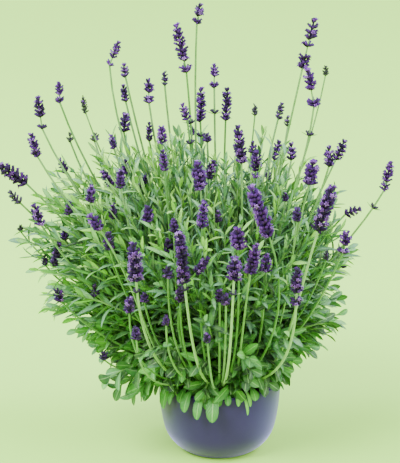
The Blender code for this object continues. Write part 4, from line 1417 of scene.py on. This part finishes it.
stalks = {
    "radius": 1.3 * mm,
    "taper": (1.2, 0.3),  # share of the radius at the foot, and how much less at the tip
    "steps": 12,
    "intoHead": 0.8,  # how far up its head a stalk runs
    "endShare": 0.5,
    # bows to the side in mm that a stalk may have taken in the solids to stand clear of others
    "sways": (0, 5, -5, 10, -10, 15, -15, 20, -20, 25, -25, 30, -30, 35, -35, 40, -40, 45, -45),
    # by the head's number, a small dark whorl on the stalk: how far under the head in mm
    "whorls": {9: 64, 11: 27, 12: 17, 13: 29, 20: 36, 25: 21, 32: 14, 35: 10, 41: 20},
    # leaf pairs on stalks: the head's number, how far along the stalk, length and width in mm
    "leafPairs": (
        (5, 0.55, 24, 6),
        (15, 0.78, 30, 7),
        (25, 0.62, 34, 9),
        (32, 0.45, 24, 7),
        (65, 0.74, 30, 8),
        (71, 0.6, 24, 6),
        (27, 0.84, 26, 8),
        (30, 0.93, 34, 8),
        (64, 0.86, 26, 7),
        (71, 0.93, 26, 9),
    ),
    "pale": (32, 35, 41, 45, 49),  # the numbers of the heads whose stalks are thick and pale
    "leafPose": (0.05, math.radians(35), 0.4),  # their droop, opening and tone
    "tinyHead": 7,  # in mm, heads narrower than this are tiny
    "radiusShares": (1.15, 0.7, 0.9),  # of the pale stalks, those of tiny heads and the others
    "tones": (0.75, 0.0, 0.4),  # of the pale stalks, and the range of the others
}


def growStalk(clump, number, row, curve, foot, tip, draw):
    path = [bezier(curve, step / stalks["steps"]) for step in range(stalks["steps"] + 1)]
    path.append(foot.lerp(tip, stalks["intoHead"]))
    pale = number in stalks["pale"]
    thick = stalks["radius"] * stalks["radiusShares"][0 if pale else 1 if row[5] < stalks["tinyHead"] else 2]
    most, loss = stalks["taper"]
    radii = [thick * (most - loss * step / len(path)) for step in range(len(path))]
    radii[-1] *= stalks["endShare"]
    paleTone, low, high = stalks["tones"]
    addStem(stemMeshes[clump], path, radii, 4, paleTone if pale else draw.uniform(low, high))


def growFlowers():
    draw = random.Random(florets["seed"])
    heads = [bmesh.new() for _ in plant["clumps"]]
    buds = [bmesh.new() for _ in plant["clumps"]]
    names = [[] for _ in plant["clumps"]]
    for number, row in enumerate(openHeads + smallHeads, 1):
        foot, tip = headEnds(row)
        axis = (tip - foot).normalized()
        clump = clumpAt(math.atan2(foot.y, foot.x))
        curve = nearestCurve(clump, [stalkCurve(clump, foot, axis, sway) for sway in stalks["sways"]])
        growStalk(clump, number, row, curve, foot, tip, draw)
        bare = bareStretches.get(number, ())
        if number <= len(openHeads):
            growHead(heads[clump], row, bare, florets["openShare"], 0, draw)
            names[clump].append(f"flower_head_{number:02d}")
        else:
            green = greenShares.get(number, plainGreen)
            growHead(buds[clump], row, bare, florets["budOpenShare"], green, draw)
        if number in stalks["whorls"]:
            under = foot - axis * stalks["whorls"][number] * mm
            share = max(step / 60 for step in range(61) if bezier(curve, step / 60).z < under.z)
            growWhorl(buds[clump], leafMeshes[clump], bezier(curve, share), heading(curve, share), draw)
        for pair, share, length, width in stalks["leafPairs"]:
            if pair == number:
                sizes = (length * mm, width * mm, *stalks["leafPose"])
                root, ahead = bezier(curve, share), heading(curve, share)
                placePair(leafMeshes[clump], "lance", root, ahead, sizes, draw)
    return heads, buds, names


headMeshes, budMeshes, headNames = growFlowers()
print("flower heads made")


feet = {
    # height and share of the foot's radius, up the woody foot of a clump
    "levels": ((61 * mm, 1.0), (70 * mm, 1.0), (76 * mm, 0.97), (82 * mm, 0.9), (plant["footTop"], 0.7)),
    "sides": 14,
}


def growFeet():
    for clump in range(len(plant["clumps"])):
        path = [footPlace(clump) + upward * height for height, _ in feet["levels"]]
        radii = [plant["footRadius"] * share for _, share in feet["levels"]]
        addStem(stemMeshes[clump], path, radii, feet["sides"], 0.5, 1)


growFeet()
for clump, name in enumerate(plant["clumps"]):
    node = "clump_" + name
    finishPiece("stalks_" + name, stemMeshes[clump], [node], ["stalk", "bark"])
    finishPiece("leaves_" + name, leafMeshes[clump], [node], ["leaf", "broadLeaf"])
    finishPiece("buds_" + name, budMeshes[clump], [node], ["calyx", "petal"])
    finishPiece("flowers_" + name, headMeshes[clump], headNames[clump], ["calyx", "petal"])
print("plant made")


# floor, light and camera
studio = {
    "floor": "#aeee5c",
    "floorCloud": "#a8ea56",
    "cloudScale": 3.0,  # per metre
    "floorReach": 8,
    "world": "#e6f8d8",
    "worldStrength": 1.2,
    "distance": 12.0,  # far enough that near and far parts of the plant are drawn at one scale
    "aim": Vector((-22.4 * mm, 0, 263.7 * mm)),
    "viewHeight": 463 * 1.148 * mm,
    "sensor": 36,
    # name, place, what it shines at, size, power and colour of each light
    "lights": (
        ("key", (-2.6, -2.6, 4.4), (0, 0.4, 0), (2.6, 2.6), 485, "#ffffff"),
        ("fill", (3.2, -2.2, 2.6), (0, 0.4, 0), (2.4, 2.4), 150, "#ffffff"),
        # these make pale bands along the pot's sides
        ("leftStrip", (-1.9, 0.5, 1.7), (0, 0, 0.2), (1.0, 1.4), 130, "#d0c4ff"),
        ("rightStrip", (1.9, 0.5, 1.7), (0, 0, 0.2), (1.0, 1.4), 130, "#d0c4ff"),
    ),
}


def paleFloor():
    # matt painted board, slightly uneven
    material, tree, shader = newMaterial("pale_board", {"Roughness": 0.9})
    place = addNode(tree, "TexCoord")
    clouds = {"Scale": studio["cloudScale"], "Detail": 2.0}
    noise = addNode(tree, "TexNoise", clouds, {"Vector": place.outputs["Object"]})
    colours = {"data_type": "RGBA", 6: studio["floor"], 7: studio["floorCloud"]}
    base = addNode(tree, "Mix", colours, {0: noise})
    connect(tree, shader, {"Base Color": base})
    bm = bmesh.new()
    bmesh.ops.create_grid(bm, x_segments=1, y_segments=1, size=studio["floorReach"])
    mesh = bpy.data.meshes.new("floor")
    bm.to_mesh(mesh)
    bm.free()
    mesh.materials.append(material)
    floor = bpy.data.objects.new("floor", mesh)
    bpy.context.scene.collection.objects.link(floor)


def softbox(name, place, target, size, power, colour):
    light = bpy.data.lights.new(name, "AREA")
    light.shape = "RECTANGLE"
    light.size, light.size_y = size
    light.energy = power
    light.color = fromHex(colour)[:3]
    lamp = bpy.data.objects.new(name, light)
    lamp.location = place
    lamp.rotation_euler = (Vector(target) - Vector(place)).to_track_quat("-Z", "Y").to_euler()
    bpy.context.scene.collection.objects.link(lamp)


def paleWorld():
    world = bpy.data.worlds.new("studio")
    world.use_nodes = True
    background = world.node_tree.nodes["Background"]
    background.inputs["Color"].default_value = fromHex(studio["world"])
    background.inputs["Strength"].default_value = studio["worldStrength"]
    bpy.context.scene.world = world


def addCamera():
    camera = bpy.data.cameras.new("camera")
    camera.sensor_width = studio["sensor"]
    camera.lens = studio["sensor"] * studio["distance"] / studio["viewHeight"]
    item = bpy.data.objects.new("camera", camera)
    tilt = plant["viewTilt"]
    back = Vector((0, -math.cos(tilt), math.sin(tilt)))
    item.location = studio["aim"] + back * studio["distance"]
    item.rotation_euler = (-back).to_track_quat("-Z", "Y").to_euler()
    bpy.context.scene.collection.objects.link(item)
    bpy.context.scene.camera = item


paleFloor()
paleWorld()
for row in studio["lights"]:
    softbox(*row)
addCamera()
print("studio made")
